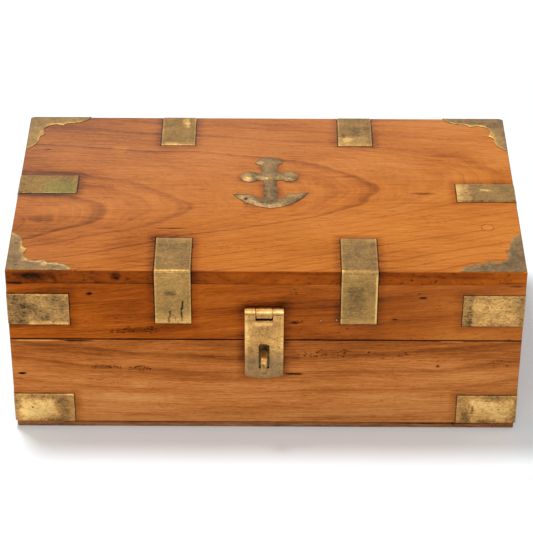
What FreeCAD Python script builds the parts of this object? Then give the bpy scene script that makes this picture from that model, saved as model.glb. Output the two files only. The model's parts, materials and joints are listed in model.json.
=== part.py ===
"""Small teak chest bound in brass, with a hinged lid and a hasp over a staple. Millimetres.

The chest stands on the XY plane with +Z up. Its front faces -Y and its width runs along X.
The origin is the middle of the underside.
"""
import FreeCAD
import Part
import Sketcher

import math
import os
import re

SIZES = {
    # Carcass: rebated boards, and the line where the lid parts from the base
    "chest_width": 356,
    "chest_depth": 202,
    "wall_thickness": 11,
    "lap_thickness": 4,
    "floor_thickness": 6,
    "floor_inset": 1,
    "base_wall_height": 73,
    "rim_gap": 0.4,
    "lid_wall_height": 47.1,
    "top_thickness": 10.5,
    "arris_radius": 1.2,
    # Brass strip: its thickness, how deep it is let into the wood, and the gap round it
    "strip_thickness": 1.2,
    "strip_let_in": 0.7,
    "strip_gap": 0.3,
    "strip_bend_radius": 1,
    # Straps bent over the edges of the lid; the side ones are not quite opposite each other
    "strap_width": 25,
    "strap_top_leg": 40,
    "strap_drop": 44,
    "front_strap_offset": 64,
    "back_strap_offset": 65.5,
    "side_strap_width": 23,
    "side_strap_top_leg": 42,
    "left_strap_shift": 7,
    "right_strap_shift": -2,
    # Straps bent round the upright corners, measured up from the board below them
    "corner_strap_leg": 42.5,
    "lid_corner_strap_height": 26,
    "lid_corner_strap_rise": 12.2,
    "base_corner_strap_height": 24.5,
    "base_corner_strap_rise": 0.3,
    # Scalloped plates on the corners of the lid
    "plate_arm": 46,
    "plate_thickness": 0.9,
    "plate_inset": 0.6,
    "plate_corner_radius": 3,
    # Anchor on the lid, leaning a little to the left; the margin runs from the front edge to its crown
    "anchor_width": 55,
    "anchor_height": 67.7,
    "anchor_thickness": 1.8,
    "anchor_shift": 3.6,
    "anchor_front_margin": 77.7,
    "anchor_tilt_degrees": 2,
    # Sheet brass of the hinges, the hasp and the staple, and the room between pieces that turn
    "leaf_thickness": 1.2,
    "leaf_fit": 0.1,
    "knuckle_play": 0.3,
    "bore_play": 0.05,
    # Butt hinges at the back, placed from the ends; the bevels beside them meet and stop the open lid
    "hinge_end_margin": 68,
    "hinge_length": 40,
    "hinge_leaf_depth": 8,
    "hinge_axis_inset": 2.5,
    "hinge_knuckle_radius": 2.5,
    "hinge_pin_radius": 1.1,
    "hinge_bevel_degrees": 50,
    # Hasp: the axis is measured up from the lid's rim, the plate down from the axis
    "hasp_shift": -1.2,
    "hasp_width": 27,
    "hasp_length": 58,
    "hasp_thickness": 1.6,
    "hasp_bow": 2.7,
    "hasp_axis_rise": 26.3,
    "hasp_knuckle_radius": 2.6,
    "hasp_pin_radius": 1.2,
    "hasp_centre_knuckle": 11.4,
    "hasp_notch_depth": 8.2,
    "hasp_slot_width": 7.2,
    "hasp_slot_radius": 2,
    "hasp_slot_room_above": 5,
    "hasp_slot_room_below": 2.6,
    "hasp_leaf_margin": 3,
    # Staple: measured down from the base's rim and out from the front board
    "staple_width": 4.4,
    "staple_bar": 3,
    "staple_height": 13.5,
    "staple_reach": 15.5,
    "staple_drop": 6.6,
    "staple_tang": 8,
    "staple_bend_radius": 4,
    "staple_fit": 0.1,
    "staple_plate_width": 24,
    "staple_plate_height": 23,
    # Fasteners: countersunk screws, brass pins filed flush, and nails punched below the surface
    "screw_head_radius": 1.9,
    "screw_shank_radius": 1,
    "screw_length": 9,
    "screw_point": 2.5,
    "screw_slot_width": 0.6,
    "screw_slot_depth": 0.5,
    "brass_pin_radius": 0.8,
    "brass_pin_length": 8,
    "nail_radius": 1.1,
    "nail_length": 24,
    "nail_set": 1.5,
    "fastener_gap": 0.05,
    # How far every cutting tool runs past the wood
    "overrun": 5,
}

# Heights and places that several pieces share, worked out from the sizes above
DERIVED = {
    "half_width": "chest_width / 2",
    "half_depth": "chest_depth / 2",
    "base_rim": "floor_thickness + base_wall_height",
    "lid_rim": "base_rim + rim_gap",
    "top_underside": "lid_rim + lid_wall_height",
    "top_face": "top_underside + top_thickness",
    "strip_proud": "strip_thickness - strip_let_in",
    "hinge_axis_y": "half_depth - hinge_axis_inset",
    "hinge_axis_z": "base_rim + rim_gap / 2",
    "hasp_axis_y": "-(half_depth + hasp_knuckle_radius + knuckle_play)",
    "hasp_axis_z": "lid_rim + hasp_axis_rise",
    "hasp_back_y": "-(half_depth + leaf_thickness + knuckle_play)",
    "staple_top": "base_rim - staple_drop",
    "staple_bottom": "staple_top - staple_height",
    "staple_middle": "staple_top - staple_height / 2",
    "staple_front": "-(half_depth + staple_reach)",
}

# Where the pins sit along each leg of a strap
PIN_SHARES = (0.3, 0.84)
# Half of the corner plate's inner edge, as shares of its arm; the last point lies on the diagonal
PLATE_EDGE_SHARES = [
    (0.155, 0.87, "arc"),
    (0.2, 0.68),
    (0.225, 0.605, "arc"),
    (0.285, 0.565),
    (0.262, 0.505, "arc"),
    (0.25, 0.45),
    (0.305, 0.305, "arc"),
]
PLATE_PIN_SHARES = [(0.15, 0.15), (0.72, 0.1), (0.1, 0.72)]
PLATE_NAIL_SHARE = 0.48
# Right half of the anchor from its crown up to its head, as shares of its width and height
ANCHOR_SHARES = [
    (0.327, 0.118, "arc"),
    (0.5, 0.295),
    (0.245, 0.272),
    (0.2, 0.235, "arc"),
    (0.175, 0.2),
    (0.087, 0.19),
    (0.087, 0.535),
    (0.164, 0.547),
    (0.382, 0.613, "arc"),
    (0.164, 0.68),
    (0.105, 0.69),
    (0.105, 0.83),
    (0.185, 0.885),
]
ANCHOR_PIN_SHARE = 0.53
# Nails along the height of the upright joints, along the floor, and beside the middle of a strap
BASE_NAIL_SHARES = (0.6, 0.9)
LID_NAIL_SHARES = (0.14, 0.9)
FLOOR_NAIL_X_SHARES = (-0.3, 0, 0.3)
FLOOR_NAIL_Y_SHARES = (-0.16, 0.16)
STRAP_NAIL_SHARE = 0.3
STAPLE_SCREW_SHARE = 0.35
HINGE_SCREW_SHARE = 0.25
HASP_SCREW_SHARE = 0.25
HINGE_KNUCKLES = 5
# The middle of a quarter round, as a share of its radius in from both sides
ROUND_SHARE = 1 - math.sqrt(0.5)

doc = FreeCAD.newDocument("brass_bound_chest")
dims = doc.addObject("Spreadsheet::Sheet", "dims")
cells = {name: str(size) for name, size in SIZES.items()}
cells.update({name: f"={rule}" for name, rule in DERIVED.items()})
for row, (name, content) in enumerate(cells.items(), start=1):
    dims.set(f"A{row}", name)
    dims.set(f"B{row}", content)
    dims.setAlias(f"B{row}", name)
doc.recompute()

pieces = []

UPRIGHT = FreeCAD.Rotation()
X_AXIS = FreeCAD.Vector(1, 0, 0)
Y_AXIS = FreeCAD.Vector(0, 1, 0)
Z_AXIS = FreeCAD.Vector(0, 0, 1)
# Turns that send a fastener drawn pointing down in another direction
DRIVE_BACK = FreeCAD.Rotation(X_AXIS, 90)
DRIVE_FORWARD = FreeCAD.Rotation(X_AXIS, -90)
DRIVE_UP = FreeCAD.Rotation(X_AXIS, 180)
ALONG_X = FreeCAD.Rotation(Y_AXIS, 90)
# Turns that carry a piece drawn at the front left corner to each corner
CORNER_DEGREES = {"front_left": 0, "front_right": 90, "back_right": 180, "back_left": 270}


def formula(text):
    """Write a sum of named sizes as an expression on the sheet."""
    return re.sub(r"[a-z_]+", lambda word: f"dims.{word[0]}" if word[0] in cells else word[0], text)


def value(text):
    """Work out a sum of named sizes as a plain number."""
    result = dims.evalExpression(formula(text))
    return float(getattr(result, "Value", result))


def span(near, far, side):
    """The low and high ends of a stretch, mirrored when side is -1."""
    return (near, far) if side > 0 else (f"-({far})", f"-({near})")


def keep(thing, label):
    """Name a finished piece."""
    thing.Label = label
    pieces.append(thing)
    return thing


def place(thing, spot, turn=UPRIGHT):
    """Turn a piece, then bind its place to the sheet."""
    thing.Placement = FreeCAD.Placement(FreeCAD.Vector(), turn)
    for letter, text in zip("xyz", spot):
        thing.setExpression(f"Placement.Base.{letter}", formula(text))
    return thing


def carried(origin, turn, local):
    """A point given in a piece's own axes, written in the chest's axes; turns are quarter turns."""
    columns = [turn.multVec(axis) for axis in (X_AXIS, Y_AXIS, Z_AXIS)]
    spot = []
    for index, start in enumerate(origin):
        terms = [f"{round(column[index])} * ({part})"
                 for column, part in zip(columns, local) if round(column[index])]
        spot.append(" + ".join([f"({start})"] + terms))
    return spot


def corners(level):
    """The name of each corner of the chest, its place at a height, and its turn."""
    for name, degrees in CORNER_DEGREES.items():
        x = "-half_width" if name.endswith("left") else "half_width"
        y = "-half_depth" if name.startswith("front") else "half_depth"
        yield name, (x, y, level), FreeCAD.Rotation(Z_AXIS, degrees)


def box(label, low, high):
    """A square block between two corners."""
    block = doc.addObject("Part::Box", label)
    for side, start, end in zip(("Length", "Width", "Height"), low, high):
        block.setExpression(side, formula(f"({end}) - ({start})"))
    return place(block, low)


def rod(label, radius, spot, length, turn):
    """A round bar that starts at a point."""
    bar = doc.addObject("Part::Cylinder", label)
    bar.setExpression("Radius", formula(radius))
    bar.setExpression("Height", formula(length))
    return place(bar, spot, turn)


def fuse(label, shapes):
    joined = doc.addObject("Part::MultiFuse", label)
    joined.Shapes = shapes
    return joined


def gather(label, things):
    group = doc.addObject("Part::Compound", label)
    group.Links = things
    return group


def cut(label, base, tool):
    rest = doc.addObject("Part::Cut", label)
    rest.Base = base
    rest.Tool = tool
    return rest


def new_body(label):
    return doc.addObject("PartDesign::Body", label)


def new_sketch(body, role):
    """An empty sketch on one of a body's own planes."""
    drawing = body.newObject("Sketcher::SketchObject", f"{body.Label}_sketch")
    plane = next(part for part in body.Origin.OriginFeatures if part.Role == role)
    drawing.AttachmentSupport = [(plane, "")]
    drawing.MapMode = "FlatFace"
    return drawing


def hold(drawing, geometry, position, x, y):
    """Fix one point of a sketch at a place given in named sizes."""
    for kind, text in (("DistanceX", x), ("DistanceY", y)):
        rule = Sketcher.Constraint(kind, -1, 1, geometry, position, value(text))
        drawing.setExpression(f"Constraints[{drawing.addConstraint(rule)}]", formula(text))


def draw(drawing, points):
    """Draw a closed outline of lines; a point marked arc bends the stretch that it lies on."""
    spots = [FreeCAD.Vector(value(point[0]), value(point[1]), 0) for point in points]
    corners = [index for index, point in enumerate(points) if len(point) == 2]
    stretches = []
    for start, end in zip(corners, corners[1:] + corners[:1]):
        middle = (start + 1) % len(points)
        if middle == end:
            line = drawing.addGeometry(Part.LineSegment(spots[start], spots[end]))
            stretches.append((line, 1, 2))
        else:
            arc = drawing.addGeometry(Part.Arc(spots[start], spots[middle], spots[end]))
            runs_forward = drawing.getPoint(arc, 1).isEqual(spots[start], 1e-6)
            stretches.append((arc, 1, 2) if runs_forward else (arc, 2, 1))
            mark = drawing.addGeometry(Part.Point(spots[middle]), True)
            drawing.addConstraint(Sketcher.Constraint("PointOnObject", mark, 1, arc))
            hold(drawing, mark, 1, *points[middle][:2])
        hold(drawing, stretches[-1][0], stretches[-1][1], *points[start])
    for this, following in zip(stretches, stretches[1:] + stretches[:1]):
        drawing.addConstraint(Sketcher.Constraint("Coincident", this[0], this[2], following[0], following[1]))


def pad(body, drawing, length):
    raised = body.newObject("PartDesign::Pad", f"{body.Label}_pad")
    raised.Profile = drawing
    raised.setExpression("Length", formula(length))
    return raised


def plate(label, role, outlines, thickness):
    """A flat plate: the first outline is its edge, the others are holes."""
    body = new_body(label)
    drawing = new_sketch(body, role)
    for points in outlines:
        draw(drawing, points)
    pad(body, drawing, thickness)
    return body


def rectangle(left, low, right, high):
    return [(left, low), (right, low), (right, high), (left, high)]


def quarter(x, y, radius, x_sign, y_sign):
    """The point half way round the rounding of a corner; the signs lead from the corner inwards."""
    inward = f"{ROUND_SHARE} * ({radius})"
    return (f"{x} + {x_sign} * {inward}", f"{y} + {y_sign} * {inward}", "arc")


def copies(label, pattern, spots):
    """One group of copies of a fastener, each at its own place and turn."""
    group = []
    for spot, turn in spots:
        link = doc.addObject("App::Link", f"{label}_copy")
        link.LinkedObject = pattern
        group.append(place(link, spot, turn))
    return gather(label, group)


def straight_fastener(label, radius, length):
    """A round pin or nail drawn pointing down, its head end at the origin."""
    body = new_body(label)
    drawing = new_sketch(body, "XZ_Plane")
    draw(drawing, rectangle("0", f"-({length})", radius, "0"))
    turned = body.newObject("PartDesign::Revolution", f"{label}_turned")
    turned.Profile = drawing
    turned.ReferenceAxis = (drawing, ["V_Axis"])
    return body


def countersunk_screw(label, gap):
    """A screw drawn pointing down with its flat head at the origin, grown by a gap for its hole."""
    body = new_body(label)
    drawing = new_sketch(body, "XZ_Plane")
    shank = f"screw_shank_radius + {gap}"
    draw(drawing, [
        ("0", "0"),
        ("0", f"-(screw_length + {gap})"),
        (shank, "-(screw_length - screw_point)"),
        (shank, "-leaf_thickness"),
        (f"screw_head_radius + {gap}", "0"),
    ])
    turned = body.newObject("PartDesign::Revolution", f"{label}_turned")
    turned.Profile = drawing
    turned.ReferenceAxis = (drawing, ["V_Axis"])
    return body


def slot_screw(body):
    """Saw the driver's slot across the head of a screw."""
    drawing = new_sketch(body, "XY_Plane")
    reach = "screw_head_radius + overrun"
    draw(drawing, rectangle(f"-({reach})", "-screw_slot_width / 2", reach, "screw_slot_width / 2"))
    slot = body.newObject("PartDesign::Pocket", f"{body.Label}_slot")
    slot.Profile = drawing
    slot.setExpression("Length", formula("screw_slot_depth"))


def bent_strip(label, width, top_leg, drop, proud, bend_radius):
    """Brass strip bent over an edge: the edge runs along X, the legs along +Y and down."""
    body = new_body(label)
    drawing = new_sketch(body, "YZ_Plane")
    inside = "strip_let_in"
    points = [(top_leg, proud), (top_leg, f"-{inside}"), (inside, f"-{inside}"),
              (inside, f"-({drop})"), (f"-({proud})", f"-({drop})")]
    if bend_radius:
        points += [(f"-({proud})", f"{proud} - {bend_radius}"),
                   quarter(f"-({proud})", proud, bend_radius, 1, -1),
                   (f"{bend_radius} - ({proud})", proud)]
    else:
        points.append((f"-({proud})", proud))
    draw(drawing, points)
    pad(body, drawing, width)
    return body


def strap(label, width, top_leg, drop, origin, turn):
    """A pinned strap with the recess that it lies in and the places of its pins."""
    strip = bent_strip(f"{label}_strip", width, top_leg, drop, "strip_proud", "strip_bend_radius")
    place(strip, origin, turn)
    recess = bent_strip(f"{label}_recess", f"{width} + 2 * strip_gap", f"{top_leg} + strip_gap",
                        f"{drop} + strip_gap", "overrun", None)
    place(recess, carried(origin, turn, ("-strip_gap", "0", "0")), turn)
    middle = f"{width} / 2"
    pins = []
    for share in PIN_SHARES:
        on_top = carried(origin, turn, (middle, f"{share} * {top_leg}", "strip_proud"))
        on_face = carried(origin, turn, (middle, "-strip_proud", f"-{share} * {drop}"))
        pins += [(on_top, turn), (on_face, turn.multiply(DRIVE_BACK))]
    return {"label": label, "brass": strip, "recess": recess, "pins": pins}


def lid_straps():
    """Two straps over the front edge, two over the back edge and one over each end."""
    made = []
    front = ("strap_width", "strap_top_leg", "strap_drop")
    side = ("side_strap_width", "side_strap_top_leg", "strap_drop")
    for name, sign in (("left", -1), ("right", 1)):
        front_spot = (f"{sign} * front_strap_offset - strap_width / 2", "-half_depth", "top_face")
        made.append(strap(f"front_strap_{name}", *front, front_spot, UPRIGHT))
        back_spot = (f"{sign} * back_strap_offset + strap_width / 2", "half_depth", "top_face")
        made.append(strap(f"back_strap_{name}", *front, back_spot, FreeCAD.Rotation(Z_AXIS, 180)))
        side_spot = (f"{sign} * half_width", f"{name}_strap_shift - {sign} * side_strap_width / 2", "top_face")
        made.append(strap(f"side_strap_{name}", *side, side_spot, FreeCAD.Rotation(Z_AXIS, sign * 90)))
    return made


def corner_straps(prefix, bottom):
    """Four straps bent round the upright corners of the lid or of the base."""
    made = []
    stood_up = FreeCAD.Rotation(Y_AXIS, -90)
    for name, spot, turn in corners(bottom):
        made.append(strap(f"{prefix}_corner_strap_{name}", f"{prefix}_corner_strap_height",
                          "corner_strap_leg", "corner_strap_leg", spot, turn.multiply(stood_up)))
    return made


def corner_plates():
    """Four scalloped plates on top of the lid, with the places of their pins."""
    inset = "plate_inset"
    rounded = f"{inset} + plate_corner_radius"
    edge = [tuple(f"{share} * plate_arm" for share in point[:2]) + point[2:] for point in PLATE_EDGE_SHARES]
    mirrored = [(point[1], point[0], *point[2:]) for point in reversed(edge[:-1])]
    outline = [(inset, "plate_arm"), *edge, *mirrored, ("plate_arm", inset), (rounded, inset),
               quarter(inset, inset, "plate_corner_radius", 1, 1), (inset, rounded)]
    made = []
    for name, spot, turn in corners("top_face"):
        brass = plate(f"corner_plate_{name}_blank", "XY_Plane", [outline], "plate_thickness")
        place(brass, spot, turn)
        pins = [(carried(spot, turn, (f"{u} * plate_arm", f"{v} * plate_arm", "plate_thickness")), turn)
                for u, v in PLATE_PIN_SHARES]
        made.append({"label": f"corner_plate_{name}", "brass": brass, "pins": pins})
    return made


def anchor():
    """The anchor cut from thick plate, with the place of its pin."""
    half = [(x, y, *kind) for x, y, *kind in ANCHOR_SHARES]
    other = [(-x, y, *kind) for x, y, *kind in reversed(half)]
    shares = [(0, 0), *half, (0, 1, "arc"), *other]
    outline = [(f"{x} * anchor_width", f"{y} * anchor_height", *kind) for x, y, *kind in shares]
    spot = ("anchor_shift", "anchor_front_margin - half_depth", "top_face")
    turn = FreeCAD.Rotation(Z_AXIS, value("anchor_tilt_degrees"))
    brass = place(plate("anchor_blank", "XY_Plane", [outline], "anchor_thickness"), spot, turn)
    along = f"{ANCHOR_PIN_SHARE} * anchor_height"
    pin_spot = (f"anchor_shift - {along} * sin(anchor_tilt_degrees)",
                f"anchor_front_margin - half_depth + {along} * cos(anchor_tilt_degrees)",
                "top_face + anchor_thickness")
    return {"label": "anchor_emblem", "brass": brass, "pins": [(pin_spot, UPRIGHT)]}


def walls(prefix, low, high):
    """Four walls between two heights: front and back run the full width and are rebated for the sides."""
    made = {}
    for name, side in (("front", -1), ("back", 1)):
        near, far = span("half_depth - wall_thickness", "half_depth", side)
        blank = box(f"{prefix}_{name}_blank", ("-half_width", near, low), ("half_width", far, high))
        rebates = []
        for end in (-1, 1):
            left, right = span("half_width - wall_thickness", "half_width + overrun", end)
            inner, outer = span("half_depth - wall_thickness - overrun", "half_depth - lap_thickness", side)
            rebates.append(box(f"{prefix}_{name}_rebate", (left, inner, f"{low} - overrun"),
                               (right, outer, f"{high} + overrun")))
        rebated = cut(f"{prefix}_{name}_rebated", blank, fuse(f"{prefix}_{name}_rebates", rebates))
        made[name] = ease_edges(rebated, lambda edge: on_end(edge) and on_face(edge))
    for name, side in (("left", -1), ("right", 1)):
        near, far = span("half_width - wall_thickness", "half_width", side)
        made[name] = box(f"{prefix}_{name}_blank", (near, "-(half_depth - lap_thickness)", low),
                         (far, "half_depth - lap_thickness", high))
    return made


def on_end(edge):
    """Whether an edge lies in the left or right face of the chest."""
    return math.isclose(abs(edge.CenterOfMass.x), value("half_width"))


def on_face(edge):
    """Whether an edge lies in the front or back face of the chest."""
    return math.isclose(abs(edge.CenterOfMass.y), value("half_depth"))


def on_top(edge):
    """Whether an edge lies in the top face of the chest."""
    return math.isclose(edge.CenterOfMass.z, value("top_face"))


def ease_edges(board, chosen):
    """Round the edges of a board that a hand meets."""
    doc.recompute()
    eased = doc.addObject("Part::Fillet", f"{board.Label}_eased")
    eased.Base = board
    radius = value("arris_radius")
    eased.Edges = [(index, radius, radius) for index, edge in enumerate(board.Shape.Edges, start=1)
                   if chosen(edge)]
    return eased


def hinge_hollow(name, x):
    """The room in both rims for one hinge: its leaves and its barrel."""
    ends = (f"{x} - hinge_length / 2 - leaf_fit", f"{x} + hinge_length / 2 + leaf_fit")
    leaves = box(f"hinge_{name}_mortise",
                 (ends[0], "hinge_axis_y - hinge_leaf_depth - leaf_fit", "base_rim - leaf_thickness"),
                 (ends[1], "hinge_axis_y", "lid_rim + leaf_thickness"))
    barrel = rod(f"hinge_{name}_barrel_room", "hinge_knuckle_radius + knuckle_play",
                 (ends[0], "hinge_axis_y", "hinge_axis_z"), "hinge_length + 2 * leaf_fit", ALONG_X)
    return [leaves, barrel]


def hinge_bevel():
    """The wedge planed off the back edges of both rims; its point lies on the hinge axis."""
    reach = "(hinge_axis_inset + overrun)"
    rise = f"{reach} * tan(hinge_bevel_degrees)"
    outline = [("hinge_axis_y", "hinge_axis_z"),
               (f"hinge_axis_y + {reach}", f"hinge_axis_z - {rise}"),
               (f"hinge_axis_y + {reach}", f"hinge_axis_z + {rise}")]
    wedge = plate("hinge_bevel", "YZ_Plane", [outline], "chest_width + 2 * overrun")
    return place(wedge, ("-half_width - overrun", "0", "0"))


def hinge(name, x, screw_hole):
    """One butt hinge: two leaves with interleaved knuckles, and the pin through them."""
    pitch = f"hinge_length / {HINGE_KNUCKLES}"
    start = f"{x} - hinge_length / 2"
    axis = ("hinge_axis_y", "hinge_axis_z")
    leaves = {"base": ("base_rim - leaf_thickness", "base_rim", "base_rim", UPRIGHT),
              "lid": ("lid_rim", "lid_rim + leaf_thickness", "lid_rim", DRIVE_UP)}
    screws = {}
    for order, (part, (low, high, face, turn)) in enumerate(leaves.items()):
        label = f"hinge_{name}_{part}_leaf"
        flat = box(f"{label}_flat", (start, "hinge_axis_y - hinge_leaf_depth", low),
                   (f"{x} + hinge_length / 2", "hinge_axis_y", high))
        own = []
        room = []
        for index in range(HINGE_KNUCKLES):
            begin = f"{start} + {index} * {pitch}"
            if index % 2 == order:
                own.append(rod(f"{label}_knuckle", "hinge_knuckle_radius",
                               (f"{begin} + knuckle_play / 2", *axis), f"{pitch} - knuckle_play", ALONG_X))
            else:
                room.append(rod(f"{label}_room", "hinge_knuckle_radius + knuckle_play",
                                (f"{begin} - knuckle_play / 2", *axis), f"{pitch} + knuckle_play", ALONG_X))
        solid = fuse(f"{label}_rolled", [cut(f"{label}_notched", flat, gather(f"{label}_notches", room)), *own])
        bore = rod(f"{label}_bore", "hinge_pin_radius + bore_play", (f"{start} - overrun", *axis),
                   "hinge_length + 2 * overrun", ALONG_X)
        screw_y = "hinge_axis_y - (hinge_leaf_depth + hinge_knuckle_radius + knuckle_play) / 2"
        screws[part] = [((f"{x} + {sign * HINGE_SCREW_SHARE} * hinge_length", screw_y, face), turn)
                        for sign in (-1, 1)]
        holes = copies(f"{label}_holes", screw_hole, screws[part])
        keep(cut(f"{label}_drilled", cut(f"{label}_bored", solid, bore), holes), label)
    pin = rod(f"hinge_{name}_pin_rod", "hinge_pin_radius", (start, *axis), "hinge_length", ALONG_X)
    keep(pin, f"hinge_{name}_pin")
    return screws


def hasp_leaf(screw_hole):
    """The hasp's fixed leaf on the lid, with the middle knuckle rolled from it."""
    left, right = "hasp_shift - hasp_width / 2", "hasp_shift + hasp_width / 2"
    tongue_left, tongue_right = "hasp_shift - hasp_centre_knuckle / 2", "hasp_shift + hasp_centre_knuckle / 2"
    low = "lid_rim + hasp_leaf_margin"
    shoulder = "hasp_axis_z - hasp_knuckle_radius - knuckle_play"
    outline = [(left, low), (right, low), (right, shoulder), (tongue_right, shoulder),
               (tongue_right, "hasp_axis_z"), (tongue_left, "hasp_axis_z"), (tongue_left, shoulder),
               (left, shoulder)]
    flat = place(plate("hasp_leaf_flat", "XZ_Plane", [outline], "leaf_thickness"), ("0", "-half_depth", "0"))
    knuckle = rod("hasp_leaf_knuckle", "hasp_knuckle_radius", (tongue_left, "hasp_axis_y", "hasp_axis_z"),
                  "hasp_centre_knuckle", ALONG_X)
    solid = fuse("hasp_leaf_rolled", [flat, knuckle])
    height = f"({low} + hasp_axis_z - hasp_notch_depth) / 2"
    screws = [((f"hasp_shift + {sign * HASP_SCREW_SHARE} * hasp_width", "-half_depth - leaf_thickness", height),
               DRIVE_BACK) for sign in (-1, 1)]
    holes = copies("hasp_leaf_holes", screw_hole, screws)
    keep(cut("hasp_leaf_drilled", cut("hasp_leaf_bored", solid, hasp_bore("hasp_leaf")), holes), "hasp_leaf")
    return screws


def hasp_bore(label):
    return rod(f"{label}_bore", "hasp_pin_radius + bore_play",
               ("hasp_shift - hasp_width / 2 - overrun", "hasp_axis_y", "hasp_axis_z"),
               "hasp_width + 2 * overrun", ALONG_X)


def hasp_plate():
    """The swinging plate: bowed at the foot, slotted for the staple and notched round the middle knuckle."""
    left, right = "hasp_shift - hasp_width / 2", "hasp_shift + hasp_width / 2"
    notch_half = "(hasp_centre_knuckle / 2 + knuckle_play)"
    notch_left, notch_right = f"hasp_shift - {notch_half}", f"hasp_shift + {notch_half}"
    notch_low = "hasp_axis_z - hasp_notch_depth"
    foot = "hasp_axis_z - hasp_length"
    outline = [(left, f"{foot} + hasp_bow"), ("hasp_shift", foot, "arc"), (right, f"{foot} + hasp_bow"),
               (right, "hasp_axis_z"), (notch_right, "hasp_axis_z"), (notch_right, notch_low),
               (notch_left, notch_low), (notch_left, "hasp_axis_z"), (left, "hasp_axis_z")]
    slot_left, slot_right = "hasp_shift - hasp_slot_width / 2", "hasp_shift + hasp_slot_width / 2"
    slot_low = "staple_bottom - hasp_slot_room_below"
    slot_high = "staple_top + hasp_slot_room_above"
    radius = "hasp_slot_radius"
    slot = [(slot_left, slot_low), (slot_right, slot_low), (slot_right, f"{slot_high} - {radius}"),
            quarter(slot_right, slot_high, radius, -1, -1), (f"{slot_right} - {radius}", slot_high),
            (f"{slot_left} + {radius}", slot_high), quarter(slot_left, slot_high, radius, 1, -1),
            (slot_left, f"{slot_high} - {radius}")]
    flat = place(plate("hasp_plate_flat", "XZ_Plane", [outline, slot], "hasp_thickness"),
                 ("0", "hasp_back_y", "0"))
    knuckles = [rod("hasp_plate_knuckle", "hasp_knuckle_radius", (start, "hasp_axis_y", "hasp_axis_z"),
                    f"hasp_width / 2 - {notch_half}", ALONG_X) for start in (left, notch_right)]
    solid = fuse("hasp_plate_rolled", [flat, *knuckles])
    keep(cut("hasp_plate_bored", solid, hasp_bore("hasp_plate")), "hasp_plate")
    pin = rod("hasp_pin_rod", "hasp_pin_radius", (left, "hasp_axis_y", "hasp_axis_z"), "hasp_width", ALONG_X)
    keep(pin, "hasp_pin")


def staple_loop():
    """Flat bar bent into a loop; its two legs pass through the staple plate and into the front board."""
    front, tang = "staple_front", "staple_tang - half_depth"
    outer, inner = "staple_bend_radius", "(staple_bend_radius - staple_bar)"
    inside = f"{front} + staple_bar"
    under, over = "staple_top - staple_bar", "staple_bottom + staple_bar"
    outline = [
        (tang, "staple_top"), (f"{front} + {outer}", "staple_top"),
        quarter(front, "staple_top", outer, 1, -1), (front, f"staple_top - {outer}"),
        (front, f"staple_bottom + {outer}"), quarter(front, "staple_bottom", outer, 1, 1),
        (f"{front} + {outer}", "staple_bottom"), (tang, "staple_bottom"),
        (tang, over), (f"{inside} + {inner}", over),
        quarter(inside, over, inner, 1, 1), (inside, f"{over} + {inner}"),
        (inside, f"{under} - {inner}"), quarter(inside, under, inner, 1, -1),
        (f"{inside} + {inner}", under), (tang, under),
    ]
    loop = plate("staple_loop_bar", "YZ_Plane", [outline], "staple_width")
    keep(place(loop, ("hasp_shift - staple_width / 2", "0", "0")), "staple_loop")


def staple_legs():
    """The lower and upper ends of the two legs, with the room round them."""
    return [("staple_bottom - staple_fit", "staple_bottom + staple_bar + staple_fit"),
            ("staple_top - staple_bar - staple_fit", "staple_top + staple_fit")]


def staple_plate(screw_hole):
    """The plate behind the staple, pierced for its legs."""
    half = "staple_plate_width / 2"
    edge = rectangle(f"hasp_shift - {half}", "staple_middle - staple_plate_height / 2",
                     f"hasp_shift + {half}", "staple_middle + staple_plate_height / 2")
    reach = "(staple_width / 2 + staple_fit)"
    holes = [rectangle(f"hasp_shift - {reach}", low, f"hasp_shift + {reach}", high)
             for low, high in staple_legs()]
    flat = place(plate("staple_plate_flat", "XZ_Plane", [edge, *holes], "leaf_thickness"),
                 ("0", "-half_depth", "0"))
    screws = [((f"hasp_shift + {sign * STAPLE_SCREW_SHARE} * staple_plate_width",
                "-half_depth - leaf_thickness", "staple_middle"), DRIVE_BACK) for sign in (-1, 1)]
    keep(cut("staple_plate_drilled", flat, copies("staple_plate_holes", screw_hole, screws)), "staple_plate")
    mortises = [box("staple_mortise", (f"hasp_shift - {reach}", "-half_depth - overrun", low),
                    (f"hasp_shift + {reach}", "staple_tang + staple_fit - half_depth", high))
                for low, high in staple_legs()]
    return screws, mortises


def corner_nails(low, height, shares):
    """Nails through the laps of the front and back walls into the ends of the sides."""
    spots = []
    for share in shares:
        level = f"{low} + {share} * {height}"
        for side in (-1, 1):
            x = f"{side} * (half_width - wall_thickness / 2)"
            spots.append(((x, "nail_set - half_depth", level), DRIVE_BACK))
            spots.append(((x, "half_depth - nail_set", level), DRIVE_FORWARD))
    return spots


def floor_nails():
    """Nails up through the floor into the edges of the four walls."""
    spots = []
    for side in (-1, 1):
        wall_y = f"{side} * (half_depth - wall_thickness / 2)"
        wall_x = f"{side} * (half_width - wall_thickness / 2)"
        spots += [((f"{share} * chest_width", wall_y, "nail_set"), DRIVE_UP) for share in FLOOR_NAIL_X_SHARES]
        spots += [((wall_x, f"{share} * chest_depth", "nail_set"), DRIVE_UP) for share in FLOOR_NAIL_Y_SHARES]
    return spots


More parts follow.
